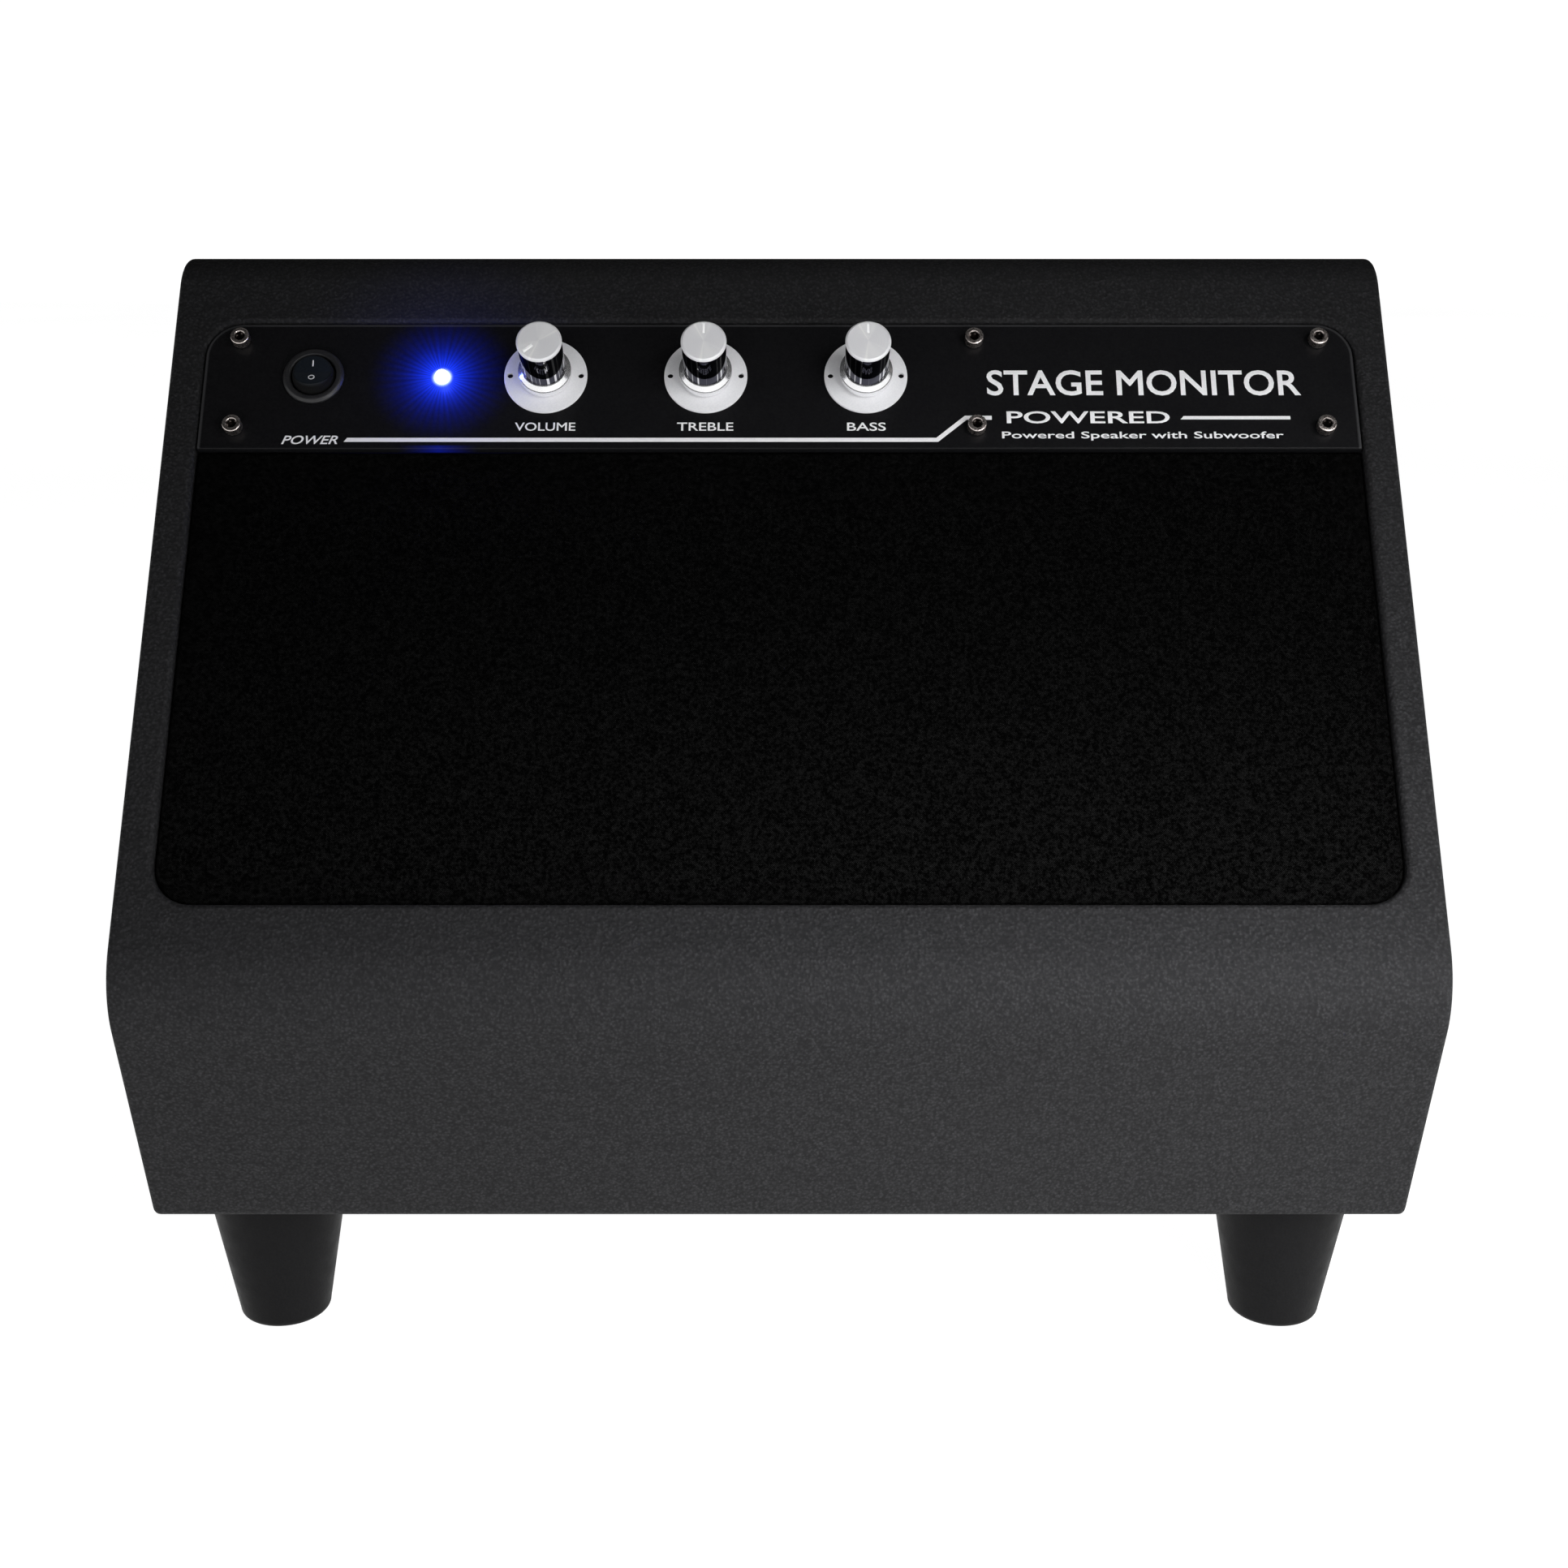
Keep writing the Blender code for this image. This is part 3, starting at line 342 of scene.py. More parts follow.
def block(name, size, centre=(0, 0, 0), place=None, soft=0.0):
    bm = bmesh.new()
    bmesh.ops.create_cube(bm, size=1.0)
    bmesh.ops.scale(bm, vec=size, verts=bm.verts)
    if soft:
        bmesh.ops.bevel(bm, geom=bm.edges, offset=soft, segments=2, profile=0.5, affect="EDGES")
    bmesh.ops.translate(bm, vec=centre, verts=bm.verts)
    return to_object(name, bm, place)


def hole(radius, base, across, up, segments=48):
    """The cutter for a round hole through a panel."""
    return turned("hole", disc_profile(radius, -0.020, 0.020), at(base, across, up), segments)


def cross(length, width, depth, height, place):
    """The cutters for a screw's cross recess."""
    arms = ((length, width, depth), (width, length, depth))
    return [block("cross", size, (0, 0, height), place) for size in arms]


def cut(obj, *cutters, operation="DIFFERENCE", soft=0.0, angle=30):
    """Cuts with exact Booleans, removes the cutters, then softens the sharp edges by soft."""
    bpy.context.view_layer.update()
    for cutter in cutters:
        modifier = obj.modifiers.new("cut", "BOOLEAN")
        modifier.operation = operation
        modifier.solver = "EXACT"
        modifier.object = cutter
    if soft:
        modifier = obj.modifiers.new("soft", "BEVEL")
        modifier.width = soft
        modifier.segments = 2
        modifier.limit_method = "ANGLE"
        modifier.angle_limit = math.radians(40)
        modifier.use_clamp_overlap = True
    apply_modifiers(obj, angle)
    for cutter in cutters:
        bpy.data.objects.remove(cutter, do_unlink=True)


def keep_flats_flat(obj):
    """Turns the shading of large flat faces true, so that rounds beside them don't bend it."""
    modifier = obj.modifiers.new("flats", "WEIGHTED_NORMAL")
    modifier.keep_sharp = True
    modifier.weight = 100


def local_box(node, base):
    """A CAD node's lowest and highest corners in a panel's own axes."""
    back = base.inverted()
    points = [back @ vert.co for vert in NODES[node].data.vertices]
    return [Vector(end(point[k] for point in points) for k in range(3)) for end in (min, max)]


def spot(node, base=FACE):
    """The middle of a CAD node in a panel's (across, up)."""
    low, high = local_box(node, base)
    return (low.x + high.x) / 2, (low.y + high.y) / 2


def at(base, across, up, out=0.0, turn=0.0):
    return base @ Matrix.Translation((across, up, out)) @ Matrix.Rotation(turn, 4, "Z")


def show(obj, material, slot, *replaced, body="cabinet"):
    """Gives a piece its finish, its body and the CAD nodes that it stands for."""
    obj.data.materials.clear()
    obj.data.materials.append(material)
    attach(obj, body)
    if replaced:
        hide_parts(*replaced)


# ---- materials ----
def grey(level, blue=0.0):
    """A neutral colour, or one with a little extra blue."""
    return (level, level, level + blue)


class Look:
    """A Principled material whose colour, roughness and bump follow procedural patterns."""

    def __init__(self, name, metallic=0.0, **sockets):
        self.material = bpy.data.materials.new(name)
        self.material.use_nodes = True
        self.tree = self.material.node_tree
        self.inputs = self.tree.nodes["Principled BSDF"].inputs
        self.inputs["Metallic"].default_value = metallic
        for socket, value in sockets.items():
            self.inputs[socket.replace("_", " ")].default_value = value
        self.position = self.node("ShaderNodeTexCoord").outputs["Object"]

    def node(self, kind, *inputs, **named):
        """A node with its settings, and its inputs in order or by their capitalised names."""
        node = self.tree.nodes.new(kind)
        for name, value in named.items():
            if name.islower():
                setattr(node, name, value)
        for socket, value in zip([s for s in node.inputs if s.enabled], inputs):
            self.feed(socket, value)
        for name, value in named.items():
            if not name.islower():
                self.feed(node.inputs[name], value)
        return node

    def feed(self, socket, value):
        """Links a socket to another, or sets it to a number or a vector."""
        if isinstance(value, bpy.types.NodeSocket):
            self.tree.links.new(value, socket)
        else:
            socket.default_value = value

    def math(self, operation, *values, clamp=False):
        return self.node("ShaderNodeMath", *values, operation=operation, use_clamp=clamp).outputs[0]

    def times(self, *values, clamp=False):
        return self.math("MULTIPLY", *values, clamp=clamp)

    def plus(self, *values, clamp=False):
        return self.math("ADD", *values, clamp=clamp)

    def vector(self, operation, *values, output=0):
        return self.node("ShaderNodeVectorMath", *values, operation=operation).outputs[output]

    def parts(self, vector=None):
        """The x, y and z of a vector, by default of the position in the piece's own axes."""
        return self.node("ShaderNodeSeparateXYZ", vector or self.position).outputs

    def spread(self, value, low, high, to_low=0.0, to_high=1.0):
        """Maps low..high onto another range, clamped."""
        return self.node("ShaderNodeMapRange", value, low, high, to_low, to_high, clamp=True).outputs[0]

    def fade(self, value, start, end, power):
        """Falls from 1 at start to 0 at end, faster at first the higher the power."""
        return self.math("POWER", self.spread(value, start, end, 1.0, 0.0), power)

    def noise(self, size, detail=3.0, roughness=0.55, vector=None):
        """Cloudy noise whose features are about size across, from 0 to 1."""
        inputs = {"Vector": vector or self.position, "Detail": detail, "Roughness": roughness}
        cloud = self.node("ShaderNodeTexNoise", Scale=1 / size, **inputs)
        return self.spread(cloud.outputs[0], 0.3, 0.7)

    def bands(self, value, scale, low=0.3, high=0.7, to_high=1.0):
        """Uneven bands along a value, from 0 to to_high."""
        line = self.node("ShaderNodeTexNoise", noise_dimensions="1D", W=value, Scale=scale)
        return self.spread(line.outputs[0], low, high, 0.0, to_high)

    def cells(self, size, feature, randomness=1.0):
        inputs = {"Vector": self.position, "Scale": 1 / size, "Randomness": randomness}
        return self.node("ShaderNodeTexVoronoi", feature=feature, **inputs).outputs["Distance"]

    def radius(self, position=None):
        """The distance from the piece's own z axis."""
        flat = self.vector("MULTIPLY", position or self.position, (1, 1, 0))
        return self.vector("LENGTH", flat, output="Value")

    def around(self, position=None):
        """The angle about the piece's own z axis, in radians."""
        across, up, _ = self.parts(position)
        return self.math("ARCTAN2", up, across)

    def mix(self, factor, first, second):
        node = self.node("ShaderNodeMix", data_type="RGBA", Factor=factor)
        for target, value in zip([s for s in node.inputs if s.type == "RGBA"], (first, second)):
            self.feed(target, value if isinstance(value, bpy.types.NodeSocket) else (*value, 1.0))
        return next(s for s in node.outputs if s.type == "RGBA")

    def colour(self, factor, first, second, socket="Base Color"):
        self.feed(self.inputs[socket], self.mix(factor, first, second))

    def glow(self, strength):
        self.feed(self.inputs["Emission Strength"], strength)

    def finish(self, rough_by, rough, height, depth, strength):
        """Spreads a pattern over a range of roughness, bumps by another, and gives the material."""
        self.feed(self.inputs["Roughness"], self.spread(rough_by, 0, 1, *rough))
        bump = self.node("ShaderNodeBump", Height=height, Strength=strength, Distance=depth)
        self.feed(self.inputs["Normal"], bump.outputs[0])
        return self.material


def plain_look(name, dark, light, rough, size, depth, metallic=0.0, **sockets):
    """A moulded, painted or plated finish: cloudy colour and roughness, with a fine bump."""
    look = Look(name, metallic, **sockets)
    grain = look.noise(size, 4.0)
    look.colour(grain, dark, light)
    return look.finish(look.noise(size * 7), rough, grain, depth, 0.6)


def vinyl_look(lamp):
    """Pebbled vinyl: paler tops, a painted highlight along the knee, painted shade higher up, and a painted
    glow of the lamp's blue round it.
    """
    look = Look("pebbled_vinyl", Specular_IOR_Level=0.10, Emission_Color=(0.08, 0.10, 1.0, 1.0))
    pebble = 0.00105
    tops = look.spread(look.cells(pebble, "SMOOTH_F1"), 0.62, 0.10)
    drift = look.times(look.noise(0.004, 2.0), 0.12)
    speck = look.times(tops, look.noise(0.0011, 1.0), clamp=True)
    _, along, up = look.parts()
    # Painted highlight: the vinyl is made paler in a band along the front of the knee.
    below_knee = look.spread(up, KNEE_HEIGHT - 0.022, KNEE_HEIGHT + 0.004)
    above_knee = look.spread(up, KNEE_HEIGHT + 0.034, KNEE_HEIGHT + 0.010)
    painted_highlight = look.times(look.times(below_knee, above_knee), look.spread(along, -0.11, -0.13, 0.0, 0.17))
    # Painted shade: the vinyl is made darker higher up the cabinet.
    painted_top_shade = look.spread(up, 0.22, 0.38, 0.0, 0.12)
    tone = look.plus(look.plus(speck, drift, clamp=True), painted_highlight)
    tone = look.math("SUBTRACT", tone, painted_top_shade, clamp=True)
    look.colour(tone, grey(0.0125, 0.0007), grey(0.036, 0.0022))
    # Painted glow: the vinyl emits a little of the lamp's blue round it.
    from_lamp = look.vector("DISTANCE", look.position, tuple(lamp), output="Value")
    look.glow(look.times(look.fade(from_lamp, 0.0, 0.065, 2.0), 0.028))
    height = look.plus(tops, look.times(look.noise(pebble / 3, 2.0), 0.35))
    return look.finish(tops, (0.70, 0.52), height, 0.00022, 0.85)


def cloth_look():
    """Acoustic cloth: a fine plain weave of matt black yarn, a little paler towards its foot with painted
    light from the floor.
    """
    look = Look("acoustic_cloth", Specular_IOR_Level=0.02)
    pitch = 0.00075
    across, up, _ = look.parts()
    warp, weft = (look.math("SINE", look.times(part, 2 * math.pi / pitch)) for part in (across, up))
    weave = look.spread(look.times(warp, weft), -1, 1)
    yarn = look.noise(2 * pitch, 3.0, 0.8)
    tone = look.times(weave, look.spread(yarn, 0.28, 1.02))
    # Painted light from the floor: the cloth is made paler towards its foot.
    tone = look.times(tone, look.spread(up, 0.045, 0.150, 1.7, 1.0))
    look.colour(tone, grey(0.0001), grey(0.0096))
    return look.finish(yarn, (0.82, 0.98), weave, 0.00015, 0.8)


def spun_look():
    """Metal turned on a lathe: fine rings about the axis, with painted highlights in soft bright fans
    across them.
    """
    look = Look("spun_aluminium", 0.1)
    ring_pitch = 0.00022
    grooves = look.bands(look.radius(), 1 / ring_pitch)
    around = look.around()
    # Painted highlights: bright fans and streaks made paler in the cap's colour.
    highlight_sweep = look.math("COSINE", look.plus(look.times(around, 2.0), 2.6))
    broad_highlight = look.math("POWER", look.spread(highlight_sweep, -1, 1), 3.0)
    wander = look.math("SINE", look.times(around, 3.0))
    painted_streaks = look.math("SINE", look.plus(look.times(around, 7.0), wander))
    crisp_highlight = look.times(look.spread(painted_streaks, 0.70, 1.0), broad_highlight)
    painted_fans = look.plus(look.times(broad_highlight, 0.40), look.times(crisp_highlight, 0.85))
    tone = look.plus(look.times(grooves, 0.25), painted_fans, clamp=True)
    look.colour(tone, grey(0.82, 0.03), grey(1.0))
    return look.finish(grooves, (0.46, 0.58), grooves, 0.00001, 0.5)


def chrome_look(front):
    """A chromed knob's side: a polished barrel with painted reflections in streaks, above a satin collar.
    """
    look = Look("chrome", 1.0)
    collar = look.spread(look.parts()[2], front + 0.0084, front + 0.0076)
    # Painted reflections: bright streaks round the barrel over a dark colour.
    painted_streaks = look.bands(look.around(), 5.0, 0.55, 0.62)
    barrel = look.mix(painted_streaks, grey(0.045, 0.02), grey(0.92, 0.02))
    look.colour(collar, barrel, grey(0.93, 0.01))
    look.feed(look.inputs["Metallic"], look.spread(collar, 0, 1, 1.0, 0.85))
    return look.finish(collar, (0.06, 0.20), look.noise(0.0030, 2.0), 0.000004, 0.5)


def screw_look():
    """Nickel-plated steel, coloured near black in its socket."""
    look = Look("socket_screw_steel", 1.0)
    grain = look.noise(0.0007)
    bright = look.mix(grain, (0.52, 0.46, 0.43), (0.86, 0.79, 0.75))
    in_socket = look.spread(look.radius(), 0.0017, 0.0021, 1.0, 0.0)
    look.colour(in_socket, bright, (0.012, 0.010, 0.009))
    return look.finish(grain, (0.22, 0.36), grain, 0.00003, 0.5)


def lamp_look():
    """The lit lens: white-hot in the middle and blue at its foot."""
    look = Look("lit_blue_lens", Roughness=0.15)
    from_core = look.spread(look.radius(), 0.0016, 0.0027)
    look.colour(from_core, (0.75, 0.85, 1.0), (0.05, 0.10, 0.9))
    look.colour(from_core, (0.62, 0.74, 1.0), (0.10, 0.18, 1.0), "Emission Color")
    look.glow(look.spread(look.noise(0.0008, 1.0), 0, 1, 13.0, 15.0))
    return look.material


def plate_look(lamp, front):
    """Satin black, with a painted highlight along its bevelled edge, and a painted blue glow in fine rays
    round the lamp.
    """
    look = Look("satin_black_plate", Specular_IOR_Level=0.10)
    grain = look.noise(0.0009, 4.0)
    black = look.mix(grain, grey(0.0045, 0.0007), grey(0.0090, 0.0008))
    across, up, height = look.parts()
    # How far a point lies outside the box of the corners' centres: their radius on the edge.
    sideways = look.math("ABSOLUTE", across)
    past_side = look.math("SUBTRACT", sideways, RECESS_HALF_WIDTH - RECESS_RADIUS)
    past_top = look.math("SUBTRACT", up, PLATE_HIGH - RECESS_RADIUS)
    past = [look.math("MAXIMUM", value, 0.0) for value in (past_side, past_top)]
    from_corner = look.vector("LENGTH", look.node("ShaderNodeCombineXYZ", *past).outputs[0], output="Value")
    # Painted highlight: a pale line on the rounded front edge along the sides and top.
    painted_highlight = look.spread(from_corner, RECESS_RADIUS - 0.0019, RECESS_RADIUS - 0.0014)
    on_front = look.spread(height, front - 0.0003, front - 0.0001)
    look.colour(look.times(painted_highlight, on_front), black, grey(0.036, 0.002))

    # Painted glow: the plate emits the lamp's blue in fine rays round it and along its lower edge.
    away = look.vector("SUBTRACT", look.position, (*lamp, 0.0))
    reach, angle = look.radius(away), look.around(away)
    rays = look.spread(look.math("SINE", look.times(angle, 44.0)), -1, 1, 0.62, 1.06)
    rays = look.plus(rays, look.bands(angle, 9.0, to_high=0.3))
    near = look.fade(reach, 0.0, 0.018, 2.6)
    far = look.fade(reach, 0.0, 0.030, 2.5)
    hot = look.fade(reach, 0.0026, 0.0046, 2.0)
    halo = look.plus(look.times(near, 1.25), look.times(far, 0.60))
    # The lamp also catches the plate's lower edge.
    at_foot = look.spread(up, PLATE_LOW + 0.0010, PLATE_LOW + 0.0016, 1.0, 0.0)
    below_lamp = look.fade(look.math("ABSOLUTE", look.parts(away)[0]), 0.0, 0.016, 2.0)
    shine = look.times(look.times(below_lamp, at_foot), 0.16)
    blue = look.mix(near, (0.001, 0.026, 1.0), (0.010, 0.055, 1.0))
    look.colour(hot, blue, (0.50, 0.62, 1.0), "Emission Color")
    look.glow(look.plus(look.plus(look.times(halo, rays), shine), look.times(hot, 3.0)))
    return look.finish(look.noise(0.012), (0.30, 0.40), grain, 0.00002, 0.5)


def rocker_look():
    """Blue-black plastic, dull down its sides, with painted shade darkening them."""
    look = Look("rocker_plastic", Specular_IOR_Level=0.22)
    grain = look.noise(0.0008, 4.0)
    clean = look.mix(grain, (0.007, 0.010, 0.015), (0.012, 0.016, 0.022))
    # Painted shade: the rocker is coloured near black down its sides.
    rim = look.spread(look.radius(), 0.0064, 0.0074)
    look.colour(rim, clean, grey(0.0008, 0.0002))
    return look.finish(rim, (0.40, 0.90), grain, 0.00002, 0.6)


def transformer_look():
    """Windings under varnished tape: fine turns along the ring."""
    look = Look("copper_windings", 0.6)
    flattened = look.node("ShaderNodeMapping", Vector=look.position, Scale=(1, 1, 0.2))
    wraps = look.noise(0.0014, 2.0, 0.5, flattened.outputs[0])
    look.colour(wraps, (0.32, 0.10, 0.03), (0.62, 0.27, 0.10))
    return look.finish(wraps, (0.25, 0.45), wraps, 0.0003, 0.8)


def board_look():
    """Solder mask over copper tracks."""
    look = Look("circuit_board")
    tracks = look.spread(look.cells(0.009, "DISTANCE_TO_EDGE", 0.35), 0.05, 0.09)
    look.colour(tracks, (0.03, 0.20, 0.07), (0.008, 0.09, 0.03))
    return look.finish(tracks, (0.30, 0.42), tracks, 0.0001, 0.5)


def fibre_look(name, dark, light, rough, size, detail, matting, depth, bump, **sockets):
    """Pressed fibres: matted short flecks."""
    look = Look(name, **sockets)
    fibres = look.noise(size, detail, matting)
    look.colour(fibres, dark, light)
    return look.finish(fibres, rough, fibres, depth, bump)


def floor_look():
    look = Look("pale_floor", Roughness=0.9, Specular_IOR_Level=0.0, Emission_Color=(1, 1, 1, 1))
    cloud = look.noise(1.5, 2.0)
    look.colour(cloud, grey(0.20), grey(0.23))
    look.glow(look.spread(cloud, 0, 1, 0.98, 1.0))
    return look.material


PLATE_BACK, PLATE_FRONT = (corner.z for corner in local_box("control_plate", FACE))
LAMP = spot("power_led")
VINYL = vinyl_look(FACE @ Vector((*LAMP, PLATE_FRONT)))
CLOTH = cloth_look()
PLATE = plate_look(LAMP, PLATE_FRONT)
LENS = lamp_look()
SCREW_STEEL = screw_look()
CHROME = chrome_look(PLATE_FRONT)
SPUN = spun_look()
ROCKER_PLASTIC = rocker_look()
CIRCUIT = board_look()
WINDINGS = transformer_look()
BOARD = ((0.75, 0.95), 0.0018, 6.0, 0.7, 0.0002, 0.7)
FIBREBOARD = fibre_look("black_fibreboard", (0.006, 0.006, 0.006), (0.020, 0.018, 0.016), *BOARD)
RAW_FIBREBOARD = fibre_look("raw_fibreboard", (0.27, 0.18, 0.10), (0.50, 0.37, 0.24), *BOARD)
PAPER = ((0.65, 0.9), 0.0012, 6.0, 0.75, 0.00015, 0.8)
CONE = fibre_look("paper_cone", grey(0.008, 0.001), grey(0.030, 0.001), *PAPER, Specular_IOR_Level=0.25)

# Plain finishes: dark and light colours, range of roughness, size of the grain, depth of the bump.
PRINT = plain_look("white_print", grey(0.86, 0.02), grey(0.96, 0.01), (0.45, 0.6), 0.0006, 0.00001)
REAR_PRINT = plain_look("grey_print", grey(0.45, 0.01), grey(0.60, 0.01), (0.5, 0.6), 0.0006, 0.00001)
LEG_PLASTIC = plain_look(
    "satin_leg_plastic", grey(0.0045, 0.0003), grey(0.008, 0.0004), (0.42, 0.55), 0.0008, 0.00003,
    Specular_IOR_Level=0.08,
)
SWITCH_PLASTIC = plain_look(
    "switch_plastic", grey(0.011, 0.001), grey(0.020, 0.002), (0.38, 0.50), 0.0006, 0.00003
)
FRAME_PLASTIC = plain_look("grille_frame_plastic", grey(0.006), grey(0.012), (0.5, 0.7), 0.0010, 0.00005)
BLACK_STEEL = plain_look(
    "black_powder_coat", grey(0.010, 0.001), grey(0.024, 0.002), (0.38, 0.55), 0.0007, 0.00006
)
RUBBER = plain_look("surround_rubber", grey(0.010), grey(0.018), (0.45, 0.62), 0.0009, 0.00004)
MAGNET = plain_look("ferrite", grey(0.035, 0.002), grey(0.070, 0.003), (0.35, 0.5), 0.0010, 0.00005, 0.7)
ALUMINIUM = plain_look(
    "extruded_aluminium", (0.52, 0.53, 0.55), (0.68, 0.69, 0.71), (0.28, 0.42), 0.0012, 0.00004, 1.0
)
STEEL = plain_look(
    "nickel_steel", (0.36, 0.32, 0.29), (0.62, 0.57, 0.53), (0.20, 0.34), 0.0007, 0.00003, 1.0
)
DARK_STEEL = plain_look(
    "black_oxide_steel", (0.030, 0.029, 0.028), (0.060, 0.058, 0.056), (0.30, 0.42), 0.0007, 0.00003, 0.9
)
SILVER = plain_look(
    "scale_silver", grey(0.84, 0.03), grey(0.92, 0.02), (0.55, 0.68), 0.0005, 0.00002, 0.1
)
# The pointer's emission is a painted highlight: it glows a little, though it is no lamp.
POINTER = plain_look(
    "pointer_enamel", grey(0.94, 0.01), grey(1.0), (0.4, 0.5), 0.0006, 0.00001,
    Emission_Color=(1, 1, 1, 1), Emission_Strength=0.25,
)


def dress_hidden_nodes():
    """Every CAD node that stays gets its procedural finish."""
    finishes = {
        FIBREBOARD: ("front_baffle", "bottom_panel", "back_panel"),
        RAW_FIBREBOARD: ("top_panel", "lower_front_panel", "left_side_panel", "right_side_panel"),
        FRAME_PLASTIC: ("grille_frame",),
        CIRCUIT: ("control_board", "amplifier_board"),
        WINDINGS: ("transformer",),
        ALUMINIUM: ("heatsink",),
        MAGNET: ("left_driver_magnet", "right_driver_magnet", "subwoofer_magnet"),
        BLACK_STEEL: ("left_driver_frame", "right_driver_frame", "subwoofer_frame"),
        CONE: ("left_driver_cone", "right_driver_cone"),
        STEEL: [f"{knob}_{piece}" for knob in KNOBS for piece in ("potentiometer", "shaft")],
    }
    for material, names in finishes.items():
        for name in names:
            NODES[name].data.materials.clear()
            NODES[name].data.materials.append(material)


# ---- cabinet ----
def wedge(name, inset):
    """The cabinet as a closed wedge, inset all round, with rounded side edges."""
    edge = EDGE_RADIUS - inset
    half = WIDTH / 2 - inset
    rings = []
    for sine, cosine in quarter(5):
        x = half - edge * (1 - cosine)
        rings.append([(-x, y, z) for y, z in side_view(inset + edge * (1 - sine))])
    rings += [[(-x, y, z) for x, y, z in ring] for ring in reversed(rings)]
    return loft(name, rings)


def recess_cutter(name, grow, floor):
    """The recess as a cutter that flares out into a rounded lip at the face."""
    lip, clear = LIP_RADIUS, 0.00001
    levels = [(floor, 0.0)]
    levels += [(-lip + lip * sine, lip * (1 - cosine)) for sine, cosine in quarter(8)]
    levels[-1] = (2 * clear, lip + clear)
    levels.append((0.010, lip + clear))
    rings = []
    for height, flare in levels:
        outline = recess_outline(grow + flare, PLATE_HIGH + grow + flare)
        rings.append([(x, y, height) for x, y in outline])
    return loft(name, rings, FACE)


def grille_pocket_cutter(name, grow, floor):
    """The deeper pocket for the grille, from its floor to just under the face."""
    return prism(name, recess_outline(grow, PLATE_LOW + SKIN + grow, 0), floor, -0.003, FACE)


def make_covering():
    """The vinyl: one skin over the cabinet, rolled over the recess's lip and down its walls."""
    sliver, surface = 0.00002, 0.00003
    core = wedge("core", SKIN)
    cut(
        core,
        recess_cutter("inner_plate_pocket", SKIN, GAP - PLATE_POCKET_DEPTH),
        grille_pocket_cutter("inner_grille_pocket", SKIN - sliver, GAP - GRILLE_POCKET_DEPTH),
    )
    covering = wedge("covering", surface)
    rear_half, rear_up = (size / 2 + GAP for size in REAR_PLATE_SIZE)
    through = 0.004
    cut(
        covering,
        recess_cutter("plate_pocket", 0, -PLATE_POCKET_DEPTH),
        grille_pocket_cutter("grille_pocket", -sliver, -GRILLE_POCKET_DEPTH),
        core,
        prism("opening", rounded_rectangle(rear_half, -rear_up, rear_up, 0.006), -through, through, REAR),
        turned("opening", disc_profile(SUBWOOFER_OPENING, -through, through), UNDERSIDE, 96),
    )
    keep_flats_flat(covering)
    show(covering, VINYL, "vinyl", "vinyl_covering")


def make_legs():
    """Tapered moulded legs with a straight rim at the top, a rounded foot and a screw in it."""
    top = LEG_HEIGHT - GAP
    rim, rim_height, foot, toe = 0.0268, 0.0022, 0.0168, 0.003
    slope = (rim - foot) / (top - rim_height)
    side = fillet([(0, top), (rim, top), (rim, top - rim_height), (foot, 0)], 0.0008)[:-1]
    foot += slope * toe
    side += [(foot - toe * (1 - cosine), toe * (1 - sine)) for sine, cosine in quarter(8)]
    recess = mm([(6.6, 0), (6.0, 0.6), (6.0, 8.0), (0, 8.0)])
    head = fillet(mm([(0, 4.0), (2.2, 4.0), (5.0, 5.2), (5.0, 7.9), (0, 7.9)]), 0.0004)
    for name in ("leg_front_left", "leg_front_right", "leg_rear_left", "leg_rear_right"):
        low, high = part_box(name)
        place = Matrix.Translation(((low.x + high.x) / 2, (low.y + high.y) / 2, 0))
        leg = turned(name + "_moulding", [*side, *recess], place, 96)
        show(leg, LEG_PLASTIC, "leg_plastic", name)
        screw = turned(name + "_screw", head, place, 32)
        cut(screw, *cross(0.0060, 0.0011, 0.0030, 0.0045, place))
        show(screw, STEEL, "steel")


# ---- grille ----
def make_grille_cloth():
    """Cloth stretched flat over the frame, and turned down over its edges."""
    roll = 0.0014
    skirt = 2 * GAP - GRILLE_POCKET_DEPTH
    levels = [(skirt, 0.0)]
    levels += [(CLOTH_FRONT - roll * (1 - sine), roll * (1 - cosine)) for sine, cosine in quarter(6)]
    rings = []
    for height, inset in levels:
        edge = CLOTH_CLEARANCE + inset
        outline = recess_outline(-edge, PLATE_LOW - edge, 0.0004)
        rings.append([(x, y, height) for x, y in outline])
    cloth = loft("grille_cloth_cover", rings, FACE, (False, True))
    thick = cloth.modifiers.new("thickness", "SOLIDIFY")
    thick.thickness = CLOTH_THICKNESS
    thick.offset = -1
    apply_modifiers(cloth)
    keep_flats_flat(cloth)
    show(cloth, CLOTH, "grille_cloth", "grille_cloth")


# ---- control plate ----
def make_plate():
    """The plate, with its front edge rounded over and a hole for each thing that passes it."""
    edge = 0.0004
    half, high = RECESS_HALF_WIDTH - edge, PLATE_HIGH - edge
    outline = rounded_rectangle(half, PLATE_LOW, high, 0, RECESS_RADIUS - edge, 14)
    plate = prism("control_plate_panel", outline, PLATE_BACK, PLATE_FRONT, FACE, 0.0008)
    holes = [(spot("power_switch_housing"), 0.0102), (LAMP, 0.0028)]
    holes += [(spot(f"{name}_knob"), 0.0039) for name in KNOBS]
    holes += [(spot(name), 0.0023) for name in SCREWS]
    cut(plate, *[hole(radius, FACE, *middle) for middle, radius in holes])
    keep_flats_flat(plate)
    show(plate, PLATE, "black_plate", "control_plate")


